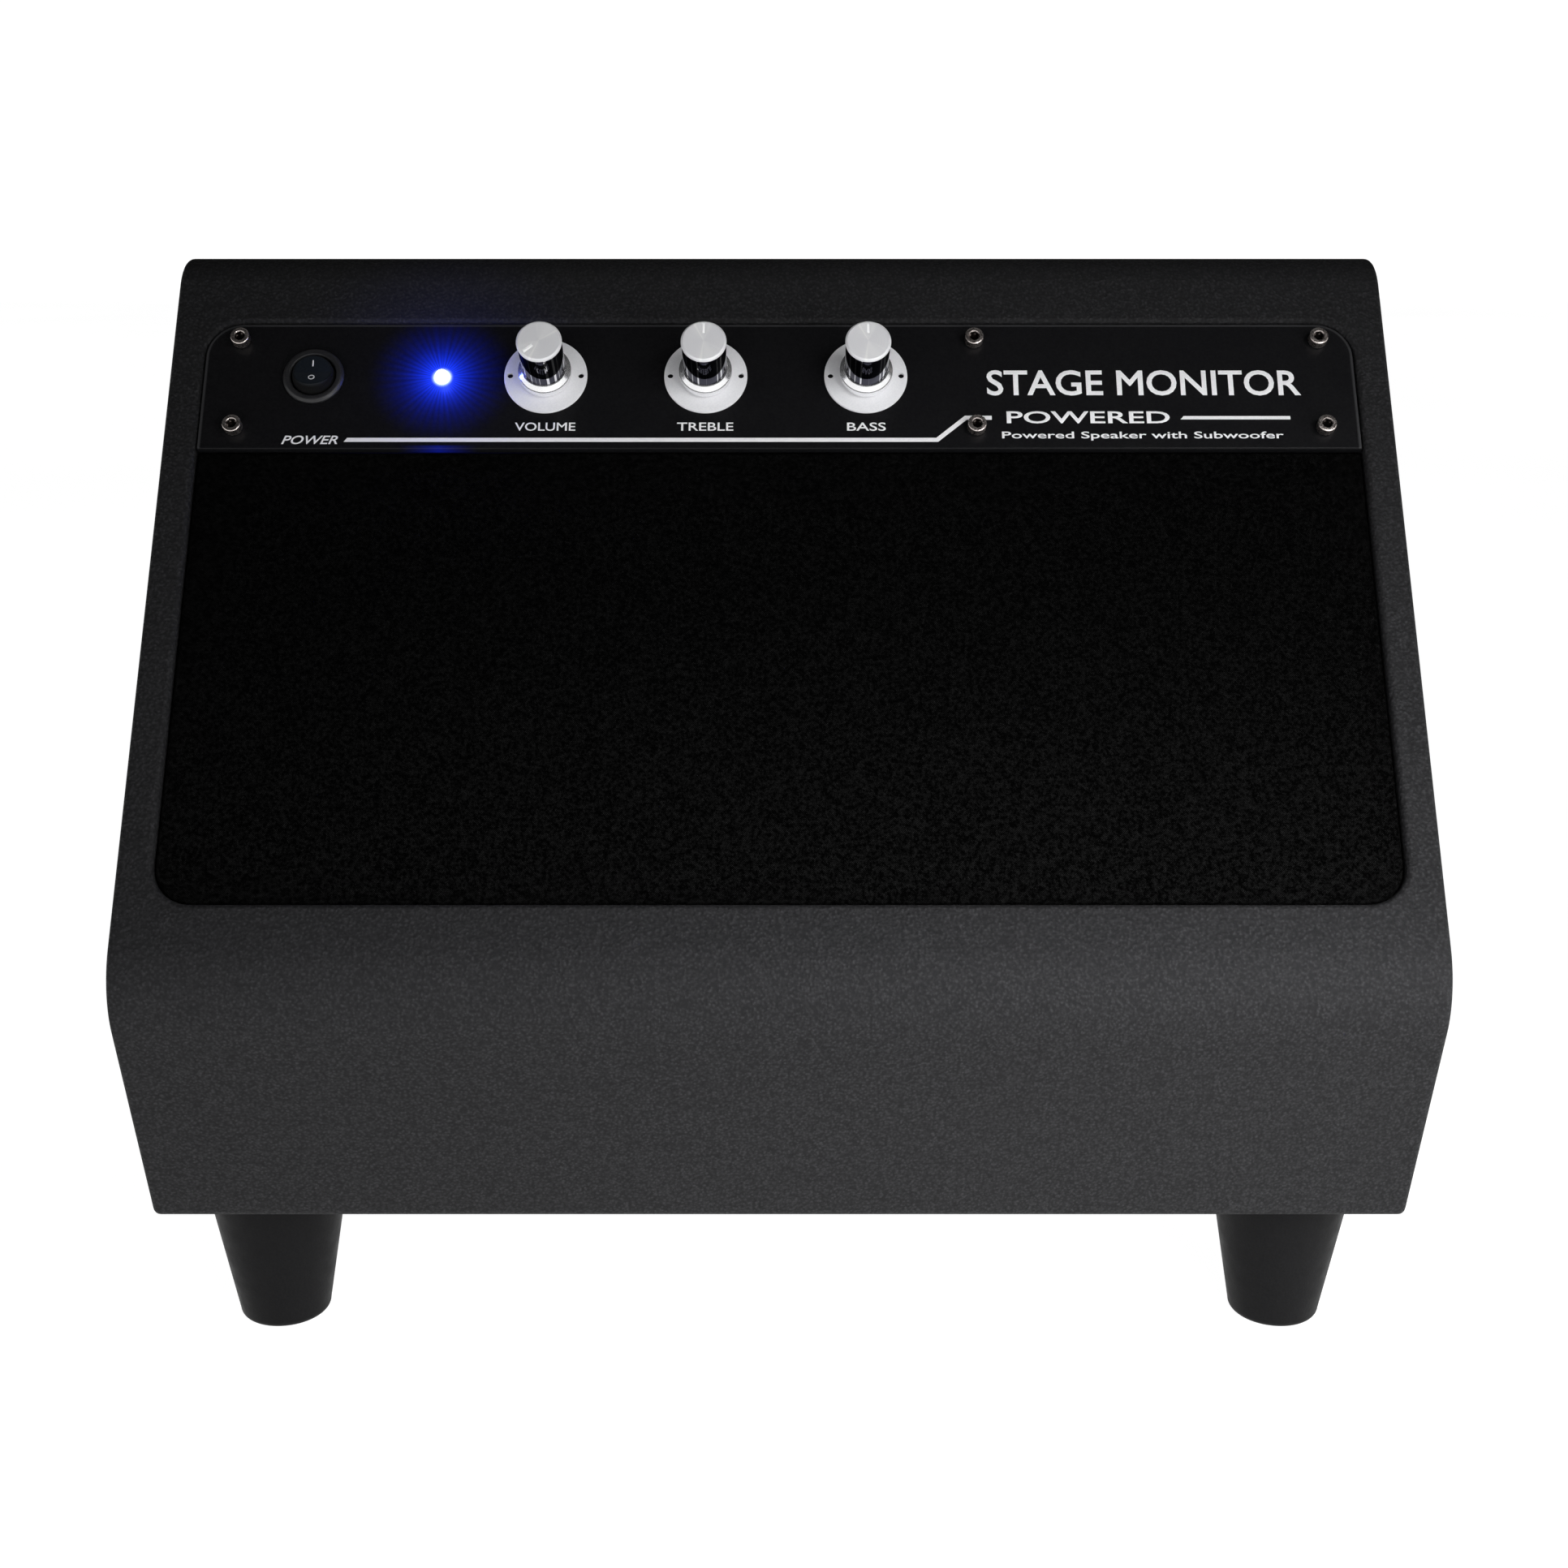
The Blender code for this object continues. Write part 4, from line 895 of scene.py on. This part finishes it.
def lettering(name, words, middle, low, width, height, base, slant, weight):
    """Words as thin raised print in a panel's axes, fitted to a width and a height of capitals."""
    curve = bpy.data.curves.new(name, "FONT")
    curve.body = words
    curve.shear = slant
    curve.bevel_depth = weight
    curve.bevel_resolution = 0
    curve.resolution_u = 4
    curve.fill_mode = "FRONT"
    guide = add(name + "_guide", curve)
    mesh = bpy.data.meshes.new_from_object(guide.evaluated_get(bpy.context.evaluated_depsgraph_get()))
    bpy.data.objects.remove(guide, do_unlink=True)
    bm = bmesh.new()
    bm.from_mesh(mesh)
    bmesh.ops.remove_doubles(bm, verts=bm.verts, dist=0.00001)
    backs = [face for face in bm.faces if face.calc_center_median().z < 0]
    bmesh.ops.delete(bm, geom=backs, context="FACES")
    xs = [vert.co.x for vert in bm.verts]
    ys = [vert.co.y for vert in bm.verts if words.isupper() or vert.co.y > -0.02]
    across = width / (max(xs) - min(xs))
    tall = height / (max(ys) - max(0.0, min(ys)))
    centre = (max(xs) + min(xs)) / 2
    out = print_height(base)
    for vert in bm.verts:
        rise = PRINT_THICKNESS * vert.co.z / weight
        vert.co = (middle + (vert.co.x - centre) * across, low + vert.co.y * tall, out + rise)
    return to_object(name, bm, base)


def print_height(base):
    """How far out print lies on the control plate or on the rear plate."""
    return (PLATE_FRONT if base is FACE else REAR_FRONT) + PRINT_LIFT


def ribbon(name, line, width, base, out, lean=0.0):
    """A printed rule of one width along a line of points, mitred where it turns."""
    bm = bmesh.new()
    pairs = []
    for i, point in enumerate(line):
        here = Vector(point)
        before = (here - Vector(line[i - 1])).normalized() if i else None
        after = (Vector(line[i + 1]) - here).normalized() if i + 1 < len(line) else None
        along = ((before or after) + (after or before)).normalized()
        normal = Vector((-along.y, along.x))
        straight = after or before
        reach = width / 2 / normal.dot(Vector((-straight.y, straight.x)))
        start = along * lean if i == 0 else Vector((0, 0))
        pairs.append((here + normal * reach + start, here - normal * reach))
    for (a, b), (c, d) in zip(pairs, pairs[1:]):
        bm.faces.new([bm.verts.new((*corner, out)) for corner in (b, d, c, a)])
    bmesh.ops.remove_doubles(bm, verts=bm.verts, dist=0.000001)
    made = bmesh.ops.extrude_face_region(bm, geom=list(bm.faces))
    raised = [item for item in made["geom"] if isinstance(item, bmesh.types.BMVert)]
    bmesh.ops.translate(bm, vec=(0, 0, PRINT_THICKNESS), verts=raised)
    return to_object(name, bm, base)


def make_printing():
    """White print on the plate: plain control labels, generic words and the rules."""
    volume, treble, bass = (spot(f"{name}_knob")[0] for name in KNOBS)
    label_low, label_height = 0.2166, 0.0034
    # The middle, foot, width, height, slant and weight of each line of words.
    words = (
        ("label_power", "POWER", -0.1750, 0.2110, 0.0210, 0.0035, 0.30, 0.012),
        ("label_volume", "VOLUME", volume + 0.0004, label_low, 0.0226, label_height, 0.0, 0.010),
        ("label_treble", "TREBLE", treble, label_low, 0.0210, label_height, 0.0, 0.010),
        ("label_bass", "BASS", bass, label_low, 0.0145, label_height, 0.0, 0.010),
        ("words_monitor", "STAGE MONITOR", 0.1370, 0.2318, 0.1180, 0.0105, 0.0, 0.014),
        ("words_powered", "POWERED", 0.1155, 0.2198, 0.0610, 0.0050, 0.0, 0.014),
        ("words_speaker", "Powered Speaker with Subwoofer", 0.1355, 0.2134, 0.1050, 0.0028, 0.0, 0.012),
    )
    for name, text, middle, low, width, height, slant, weight in words:
        label = lettering(name, text, middle, low, width, height, FACE, slant, weight)
        show(label, PRINT, "scale_silver")
    low, high = 212.7, 222.0
    rules = (
        ("rule_long", [(-162.3, low), (58.8, low), (69.7, high), (79.4, high)], 0.0017),
        ("rule_short", [(150.0, high), (191.1, high)], 0.0014),
    )
    for name, line, width in rules:
        rule = ribbon(name, mm(line), width, FACE, print_height(FACE), 0.0012)
        show(rule, PRINT, "scale_silver")


def make_plate_screws():
    """Socket-head cap screws, each turned to an angle of its own."""
    for i, name in enumerate(SCREWS):
        screw = socket_screw(name + "_head", at(FACE, *spot(name), 0, 0.4 + 0.9 * i), PLATE_FRONT + GAP)
        show(screw, SCREW_STEEL, "steel", name)


def socket_screw(name, place, seat):
    """A cap screw: knurled side, rounded rim, and a hexagonal socket with a lead-in."""
    head, rim, socket, knurl = 0.0035, 0.00045, 0.00173, 0.00013
    top = seat + 0.0040
    crown = [(head - rim + rim * sine, top - rim + rim * cosine) for sine, cosine in quarter(4)]
    shank = mm([(3.5, 0.3), (3.2, 0), (2.0, 0), (2.0, -10), (0, -10)], seat)
    screw = turned(name, [(0, top), *crown, *shank], place, 72)
    for vert in screw.data.vertices:
        radius = math.hypot(vert.co.x, vert.co.y)
        on_side = abs(radius - head) < 1e-5 and vert.co.z < top - rim + 1e-6
        if on_side and vert.index % 2:
            vert.co.x *= 1 - knurl / head
            vert.co.y *= 1 - knurl / head
    hexagonal = prism("socket", hexagon(socket / math.cos(math.pi / 6)), top - 0.0022, top + 0.002, place)
    lead_in = turned("lead_in", mm([(0, 1.0), (3.1, 1.0), (1.6, -0.5), (0, -0.5)], top), place, 48)
    cut(screw, hexagonal, lead_in)
    return screw


def make_switch():
    """A round rocker switch: bezel and well, and a rocker marked for on and off on its own body."""
    x, up = spot("power_switch_housing")
    well, bezel_edge = 8.5, 11.5
    bezel = [(well, -7.0), (well, 1.7), (9.0, 2.2), (10.5, 2.2), (bezel_edge, 1.2), (bezel_edge, 0.3)]
    bezel = fillet(mm([*bezel, (9.8, 0.3), (9.8, -16.0)], PLATE_FRONT), 0.0006, 4)
    profile = [(0, PLATE_FRONT - 0.0070), *bezel, (0, PLATE_FRONT - 0.0160)]
    housing = turned("switch_housing", profile, at(FACE, x, up), 96)
    show(housing, SWITCH_PLASTIC, "switch_plastic", "power_switch_housing")

    # The rocker is a ball, cut off below and cut above to two slopes that meet in a valley.
    tilt = math.radians(10)
    pivot = at(FACE, x, up, PLATE_FRONT + 0.0002) @ Matrix.Rotation(-tilt, 4, "X")
    bm = bmesh.new()
    bmesh.ops.create_uvsphere(bm, u_segments=64, v_segments=48, radius=0.0080)
    rocker = to_object("switch_rocker", bm, pivot)
    valley, reach = 0.0030, 0.012
    rise = valley + reach * math.tan(tilt)
    outline = [(0, valley), (reach, rise), (reach, 0.020), (-reach, 0.020), (-reach, rise)]
    top = prism("top", outline, -0.012, 0.012, pivot @ Matrix.Rotation(math.pi / 2, 4, "Z") @ UPRIGHT)
    base = block("base", (0.020, 0.020, 0.010), (0, 0, -0.0100), pivot)
    cut(rocker, top, base, soft=0.00025, angle=25)
    show(rocker, ROCKER_PLASTIC, "rocker_plastic", "power_switch_rocker", body="rocker")

    def slope(middle, turn):
        """The axes of the print at a height on the rocker's top."""
        out = valley + abs(middle) * math.tan(tilt) + PRINT_LIFT
        return pivot @ Matrix.Translation((0, middle, out)) @ Matrix.Rotation(turn, 4, "X")

    stroke = ribbon("mark_on", [(0, -0.0013), (0, 0.0013)], 0.00045, slope(0.0036, tilt), 0.0)
    outer, inner = 0.00125, 0.00085
    ring = [(outer, PRINT_THICKNESS), (outer, 0), (inner, 0), (inner, PRINT_THICKNESS)]
    circle = turned("mark_off", ring, slope(-0.0030, -tilt), 40, closed=True)
    for mark in (stroke, circle):
        show(mark, PRINT, "rocker_plastic", body="rocker")


def make_lamp():
    """A 5 mm lamp with a domed lens and a flange behind the plate."""
    radius, flange, back = 0.0025, 0.0029, PLATE_BACK - GAP
    dome = arc((0, PLATE_FRONT + 0.0009), radius, 90, 0, 14)
    foot = [(radius, back), (flange, back), (flange, back - 0.001), (0, back - 0.001)]
    lamp = turned("power_lamp", [(0, dome[0][1]), *dome[1:], *foot], at(FACE, *LAMP), 48)
    show(lamp, LENS, "blue_lens", "power_led")


# ---- knobs ----
def make_scale_disc(name):
    """A thin silvered disc with a dark pip at either side."""
    bore, edge, top = 3.9, 15.65, 1.3
    profile = mm([(bore, top), (edge, top), (edge, 0.3), (bore, 0.3)], PLATE_FRONT)
    place = at(FACE, *spot(f"{name}_scale_disc"))
    disc = turned(f"{name}_scale", fillet(profile, 0.0003, closed=True), place, 128, closed=True)
    cut(disc, *[hole(0.0011, place, x, 0, 24) for x in (-0.0133, 0.0133)])
    show(disc, SILVER, "scale_silver", f"{name}_scale_disc")


def make_knob(name):
    """A chromed body with a flared collar, and a spun cap with an enamelled line let into it."""
    body_name = f"{name}_control"
    place = at(FACE, *spot(f"{name}_knob"), 0, math.radians(POINTER_ANGLES[name]))
    # Outside: the seat of the cap, the barrel and the collar. Inside: the bores.
    cap_seat = [(0, 22.5), (5.3, 22.5), (5.3, 24.6), (8.2, 24.6)]
    collar = [(8.1, 8.4), (8.4, 7.5), (10.0, 5.8), (10.0, 3.6), (9.6, 1.9)]
    bores = [(6.2, 1.9), (6.2, 5.6), (3.3, 5.6), (3.3, 18.8), (0, 18.8)]
    profile = mm([*cap_seat, *collar, *bores], PLATE_FRONT)
    profile = [profile[0], *fillet(profile[1:-1], 0.0006, 4), profile[-1]]
    body = turned(f"{name}_knob_body", profile, place, 96)
    show(body, CHROME, "chrome", f"{name}_knob", body=body_name)

    face = [(0, 26.3), (7.7, 26.3), (8.4, 25.6), (8.4, 24.9), (5.0, 24.9), (5.0, 22.8), (0, 22.8)]
    cap = turned(f"{name}_knob_face", fillet(mm(face, PLATE_FRONT), 0.0001, 2), place, 96)
    top, middle = PLATE_FRONT + 0.0263, 0.0051
    cut(cap, block("groove", (0.0013, 0.0044, 0.0010), (0, middle, top), place))
    keep_flats_flat(cap)
    show(cap, SPUN, "spun_aluminium", f"{name}_knob_cap", body=body_name)
    size, centre = (0.0008, 0.0040, 0.00052), (0, middle, top - 0.00028)
    inlay = block(f"{name}_pointer", size, centre, place, 0.00005)
    show(inlay, POINTER, "spun_aluminium", body=body_name)


# ---- loudspeakers ----
def make_surrounds():
    """Half-roll surrounds: an outer half that stays, and an inner one that reaches to its cone."""
    behind_baffle = -(SKIN + GAP + 0.015 + GAP)
    speakers = (
        ("left_driver", at(FACE, -DRIVER_X, DRIVER_UP, behind_baffle), 0.0385, 0.0460),
        ("right_driver", at(FACE, DRIVER_X, DRIVER_UP, behind_baffle), 0.0385, 0.0460),
        ("subwoofer", SUBWOOFER, 0.0765, 0.0895),
    )
    seat = -0.0030
    for name, base, edge, opening in speakers:
        middle = ((edge + opening) / 2, seat)
        radius = (opening - edge) / 2 - GAP
        for part, start, end in (("outer", 0, 90), ("inner", 90, 180)):
            crown = arc(middle, radius, start, end, 8)
            under = arc(middle, radius - 0.0008, end, start, 8)
            piece = turned(f"{name}_surround_{part}", [*crown, *under], base, 96, closed=True)
            if part == "outer":
                show(piece, RUBBER, "rubber", f"{name}_surround")
                continue
            piece.data.materials.append(RUBBER)
            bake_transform(piece)
            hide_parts(f"{name}_surround")


def make_subwoofer_cone():
    """A paper cone with concentric ribs and a domed dust cap."""
    rim, coil, cap, seat = 0.0760, 0.0190, 0.0256, -0.0030
    throat = 0.0016 - 0.0620 + 0.0120
    slope = (seat - throat) / (rim - coil)
    cap_low = throat + (cap - coil) * slope
    rise, steps, ribs = 0.0090, 24, 36
    profile = [(cap * k / steps, cap_low + rise * (1 - (k / steps) ** 2)) for k in range(steps + 1)]
    for k in range(1, ribs + 1):
        r = cap + (rim - cap) * k / ribs
        wave = 0.0004 * math.cos(6 * math.pi * k / ribs) * math.sin(math.pi * k / ribs)
        profile.append((r, throat + (r - coil) * slope + wave))
    profile += [(rim, seat - 0.0008), (coil, throat - 0.0010), (0, cap_low - 0.0010 + rise * 0.6)]
    cone = turned("subwoofer_cone_paper", profile, SUBWOOFER, 96)
    show(cone, CONE, "paper_cone", "subwoofer_cone", body="subwoofer_moving_cone")


def make_guard():
    """The dished steel guard under the subwoofer: rounded slots, eight screws round its flange."""
    low, sheet, high = 1.8, 1.2, 16.3
    outer = [(91.5, high), (95.5, high - 4.0), (96.5, low + sheet), (105.0, low + sheet)]
    inner = [(105.0, low), (94.3, low), (94.3, high - 5.0), (91.0, high - sheet)]
    dish = fillet(mm([*outer, *inner]), 0.0012, 4)
    high /= 1000
    profile = [(0, high), *dish, (0, high - sheet / 1000)]
    guard = turned("subwoofer_guard_dish", profile, UNDERSIDE, 128)
    pitch, half_width, field = 0.022, 0.007, 0.086
    slots = []
    for i in range(-3, 4):
        half = math.sqrt(field**2 - (i * pitch) ** 2)
        outline = rounded_rectangle(half, -half_width, half_width, half_width - 0.0002, segments=8)
        slots.append(prism("slot", outline, high - 0.008, high + 0.004, at(UNDERSIDE, 0, i * pitch)))
    cut(guard, *slots, soft=0.0002)
    show(guard, BLACK_STEEL, "black_steel", "subwoofer_guard")
    circle, seat = 0.1003, (low + sheet) / 1000
    for i in range(8):
        turn = math.radians(22.5 + 45 * i)
        place = at(UNDERSIDE, circle * math.cos(turn), circle * math.sin(turn), seat, turn)
        pan_screw(f"guard_screw_{i + 1}", place)


def pan_screw(name, place, radius=PAN_HEAD, height=0.0018):
    """A pan-head screw with a cross recess."""
    dome = [(radius * sine, height * (0.35 + 0.65 * cosine)) for sine, cosine in quarter(8)]
    head = turned(name, [*dome, (radius, 0.0), (0, 0.0)], place, 40)
    cut(head, *cross(radius * 1.1, radius * 0.24, height * 1.3, height, place))
    show(head, DARK_STEEL, "steel")


# ---- rear ----
REAR_FRONT = local_box("rear_plate", REAR)[1].z


def make_rear():
    """The rear plate with its screws, inlet, jacks and grey print."""
    half, up = (size / 2 - GAP for size in REAR_PLATE_SIZE)
    outline = rounded_rectangle(half, -up, up, 0.0055)
    plate = prism("rear_panel", outline, -SKIN, REAR_FRONT, REAR, 0.0003)
    inlet = spot("mains_inlet", REAR)
    left, right = (spot(f"{side}_input_jack", REAR)[0] for side in ("left", "right"))
    jack_up = 0.020
    inlet_hole = block("hole", (0.0285, 0.0215, 0.020), (*inlet, 0), REAR)
    cut(plate, inlet_hole, *[hole(0.0048, REAR, x, jack_up, 40) for x in (left, right)])
    show(plate, BLACK_STEEL, "black_steel", "rear_plate")
    for i, x in enumerate((-0.1035, 0, 0.1035)):
        for j, y in enumerate((-0.0685, 0.0685)):
            pan_screw(f"rear_screw_{2 * i + j + 1}", at(REAR, x, y, REAR_FRONT, 0.3 + i))
    make_inlet(inlet)
    make_jack("left", at(REAR, left, jack_up))
    make_jack("right", at(REAR, right, jack_up))
    legends = (
        ("legend_line_in", "LINE IN", 0.046, 0.0385, 0.0240, 0.0042),
        ("legend_left", "L", left, 0.0310, 0.0022, 0.0032),
        ("legend_right", "R", right, 0.0310, 0.0026, 0.0032),
        ("legend_mains", "MAINS IN", inlet[0], -0.0560, 0.0270, 0.0042),
    )
    for name, text, middle, low, width, height in legends:
        label = lettering(name, text, middle, low, width, height, REAR, 0.0, 0.008)
        show(label, REAR_PRINT, "black_steel")
    round_jacks = rounded_rectangle(0.036, -0.022, 0.022, 0.003, segments=6)
    line = [(x + 0.046, y + 0.024) for x, y in round_jacks]
    rule = ribbon("legend_frame", [*line, line[0]], 0.0005, REAR, print_height(REAR))
    show(rule, REAR_PRINT, "black_steel")


def make_inlet(middle):
    """The mains inlet: flange with two screws, a deep pocket and three blades."""
    front, low, depth = REAR_STAND_OFF - 0.0002, REAR_FRONT + GAP, 0.0220
    place = at(REAR, *middle)
    flange = rounded_rectangle(0.025, -0.0115, 0.0115, 0.0110)
    inlet = prism("inlet_housing", flange, low, front, place, 0.0005)
    top = low + 0.001
    body = block("body", (0.0278, 0.0208, depth + top), (0, 0, (top - depth) / 2), place)
    cut(inlet, body, operation="UNION")
    x, y, corner = 12.0, 8.0, 4.5
    outline = [(-x, -y), (x, -y), (x, y - corner), (x - corner, y), (corner - x, y), (-x, y - corner)]
    pocket = fillet(mm(outline), 0.0010, closed=True)
    cut(inlet, prism("pocket", pocket, -0.0150, 0.0100, place), soft=0.0002)
    show(inlet, SWITCH_PLASTIC, "switch_plastic", "mains_inlet")
    for i, (x, y) in enumerate(mm([(-7.0, -1.5), (0, 2.5), (7.0, -1.5)])):
        blade = block(f"inlet_blade_{i + 1}", (0.0020, 0.0040, 0.0130), (x, y, -0.0085), place, 0.0004)
        show(blade, STEEL, "steel")
    for i, x in enumerate((-0.0195, 0.0195)):
        seat = at(REAR, middle[0] + x, middle[1], front - 0.0016)
        pan_screw(f"inlet_screw_{i + 1}", seat, 0.0030, 0.0017)


def make_jack(side, place):
    """A quarter-inch socket: hexagonal nut, threaded barrel and a dark bore."""
    nut_top = REAR_STAND_OFF - 0.0006
    nut = prism(f"{side}_jack_nut", hexagon(0.0070), REAR_FRONT + GAP, nut_top, place, 0.0004)
    cut(nut, hole(0.0046, place, 0, 0))
    show(nut, STEEL, "steel", f"{side}_input_jack")
    outer, bore, back, ends = 0.0045, 0.0033, -0.0100, REAR_STAND_OFF - 0.0001
    sleeve = fillet([(outer, ends), (outer, back), (bore, back), (bore, ends)], 0.0003, closed=True)
    barrel = turned(f"{side}_jack_barrel", sleeve, place, 64, closed=True)
    show(barrel, STEEL, "steel")
    outside = [(6.2, -2.0), (6.2, -26.0), (0, -26.0), (0, -25.0)]
    inside = [(5.2, -25.0), (5.2, -10.5), (4.6, -10.5), (4.6, -2.0)]
    body = turned(f"{side}_jack_body", mm([*outside, *inside]), place, 48, closed=True)
    show(body, SWITCH_PLASTIC, "switch_plastic")


# ---- stage ----
def make_floor():
    bm = bmesh.new()
    bmesh.ops.create_circle(bm, cap_ends=True, segments=96, radius=9.0)
    floor = to_object("floor", bm)
    floor.location.z = -0.00005
    floor.data.materials.append(floor_look())


def light(name, kind, power, location, target=None, colour=(1, 1, 1), **settings):
    """A lamp of the studio, aimed at its target, and hidden from the camera."""
    data = bpy.data.lights.new(name, kind)
    data.energy = power
    data.color = colour
    for setting, value in settings.items():
        setattr(data, setting, value)
    obj = add(name, data)
    obj.location = location
    if target:
        aim = Vector(target) - Vector(location)
        obj.rotation_euler = aim.to_track_quat("-Z", "Y").to_euler()
        obj.visible_camera = False


def make_lights():
    """A weak softbox above, and two soft spots from the front right for the plate and the knee."""
    light(
        "overhead_softbox", "AREA", 2, (0.0, 1.2, 2.6), (0, 0, 0.20),
        shape="RECTANGLE", size=2.6, size_y=1.2,
    )
    light(
        "front_spot", "SPOT", 48, (0.46, -0.725, 0.543), (0.157, -0.15, -0.193),
        spot_size=math.radians(79), spot_blend=1.0, shadow_soft_size=0.30,
    )
    light(
        "low_spot", "SPOT", 30, (0.75, -1.1, 0.10), (0.12, -0.17, 0.11),
        spot_size=math.radians(27), spot_blend=1.0, shadow_soft_size=0.15,
    )
    before_lamp = FACE @ Vector((*LAMP, PLATE_FRONT + 0.006))
    light("lamp_glow", "POINT", 0.018, before_lamp, colour=(0.05, 0.10, 1.0), shadow_soft_size=0.002)


def make_world():
    """White studio walls round the horizon, under a dark ceiling."""
    world = bpy.data.worlds.new("studio")
    world.use_nodes = True
    tree = world.node_tree
    position = tree.nodes.new("ShaderNodeTexCoord")
    parts = tree.nodes.new("ShaderNodeSeparateXYZ")
    fall = tree.nodes.new("ShaderNodeMapRange")
    fall.interpolation_type = "SMOOTHSTEP"
    tree.links.new(position.outputs["Generated"], parts.inputs[0])
    tree.links.new(parts.outputs["Z"], fall.inputs["Value"])
    for socket, value in zip(fall.inputs[1:5], (0.09, 0.24, WALL_LIGHT, CEILING_LIGHT)):
        socket.default_value = value
    tree.links.new(fall.outputs[0], tree.nodes["Background"].inputs["Strength"])
    tree.nodes["Background"].inputs["Color"].default_value = (1, 1, 1, 1)
    bpy.context.scene.world = world


def make_camera():
    camera = bpy.data.cameras.new("camera")
    camera.sensor_width = 36.0
    camera.lens = 48.45
    camera.shift_x = 0.00295
    obj = add("camera", camera)
    obj.location = (0, KNEE_Y - 0.6694, KNEE_HEIGHT + 0.2605)
    obj.rotation_euler = (math.radians(74.5), 0, 0)
    bpy.context.scene.camera = obj


make_camera()
make_floor()
make_lights()
make_world()
bpy.context.scene.view_settings.view_transform = "Standard"
dress_hidden_nodes()
make_covering()
make_legs()
make_grille_cloth()
make_plate()
make_printing()
make_plate_screws()
make_switch()
make_lamp()
for knob in KNOBS:
    make_scale_disc(knob)
    make_knob(knob)
make_surrounds()
make_subwoofer_cone()
make_guard()
make_rear()
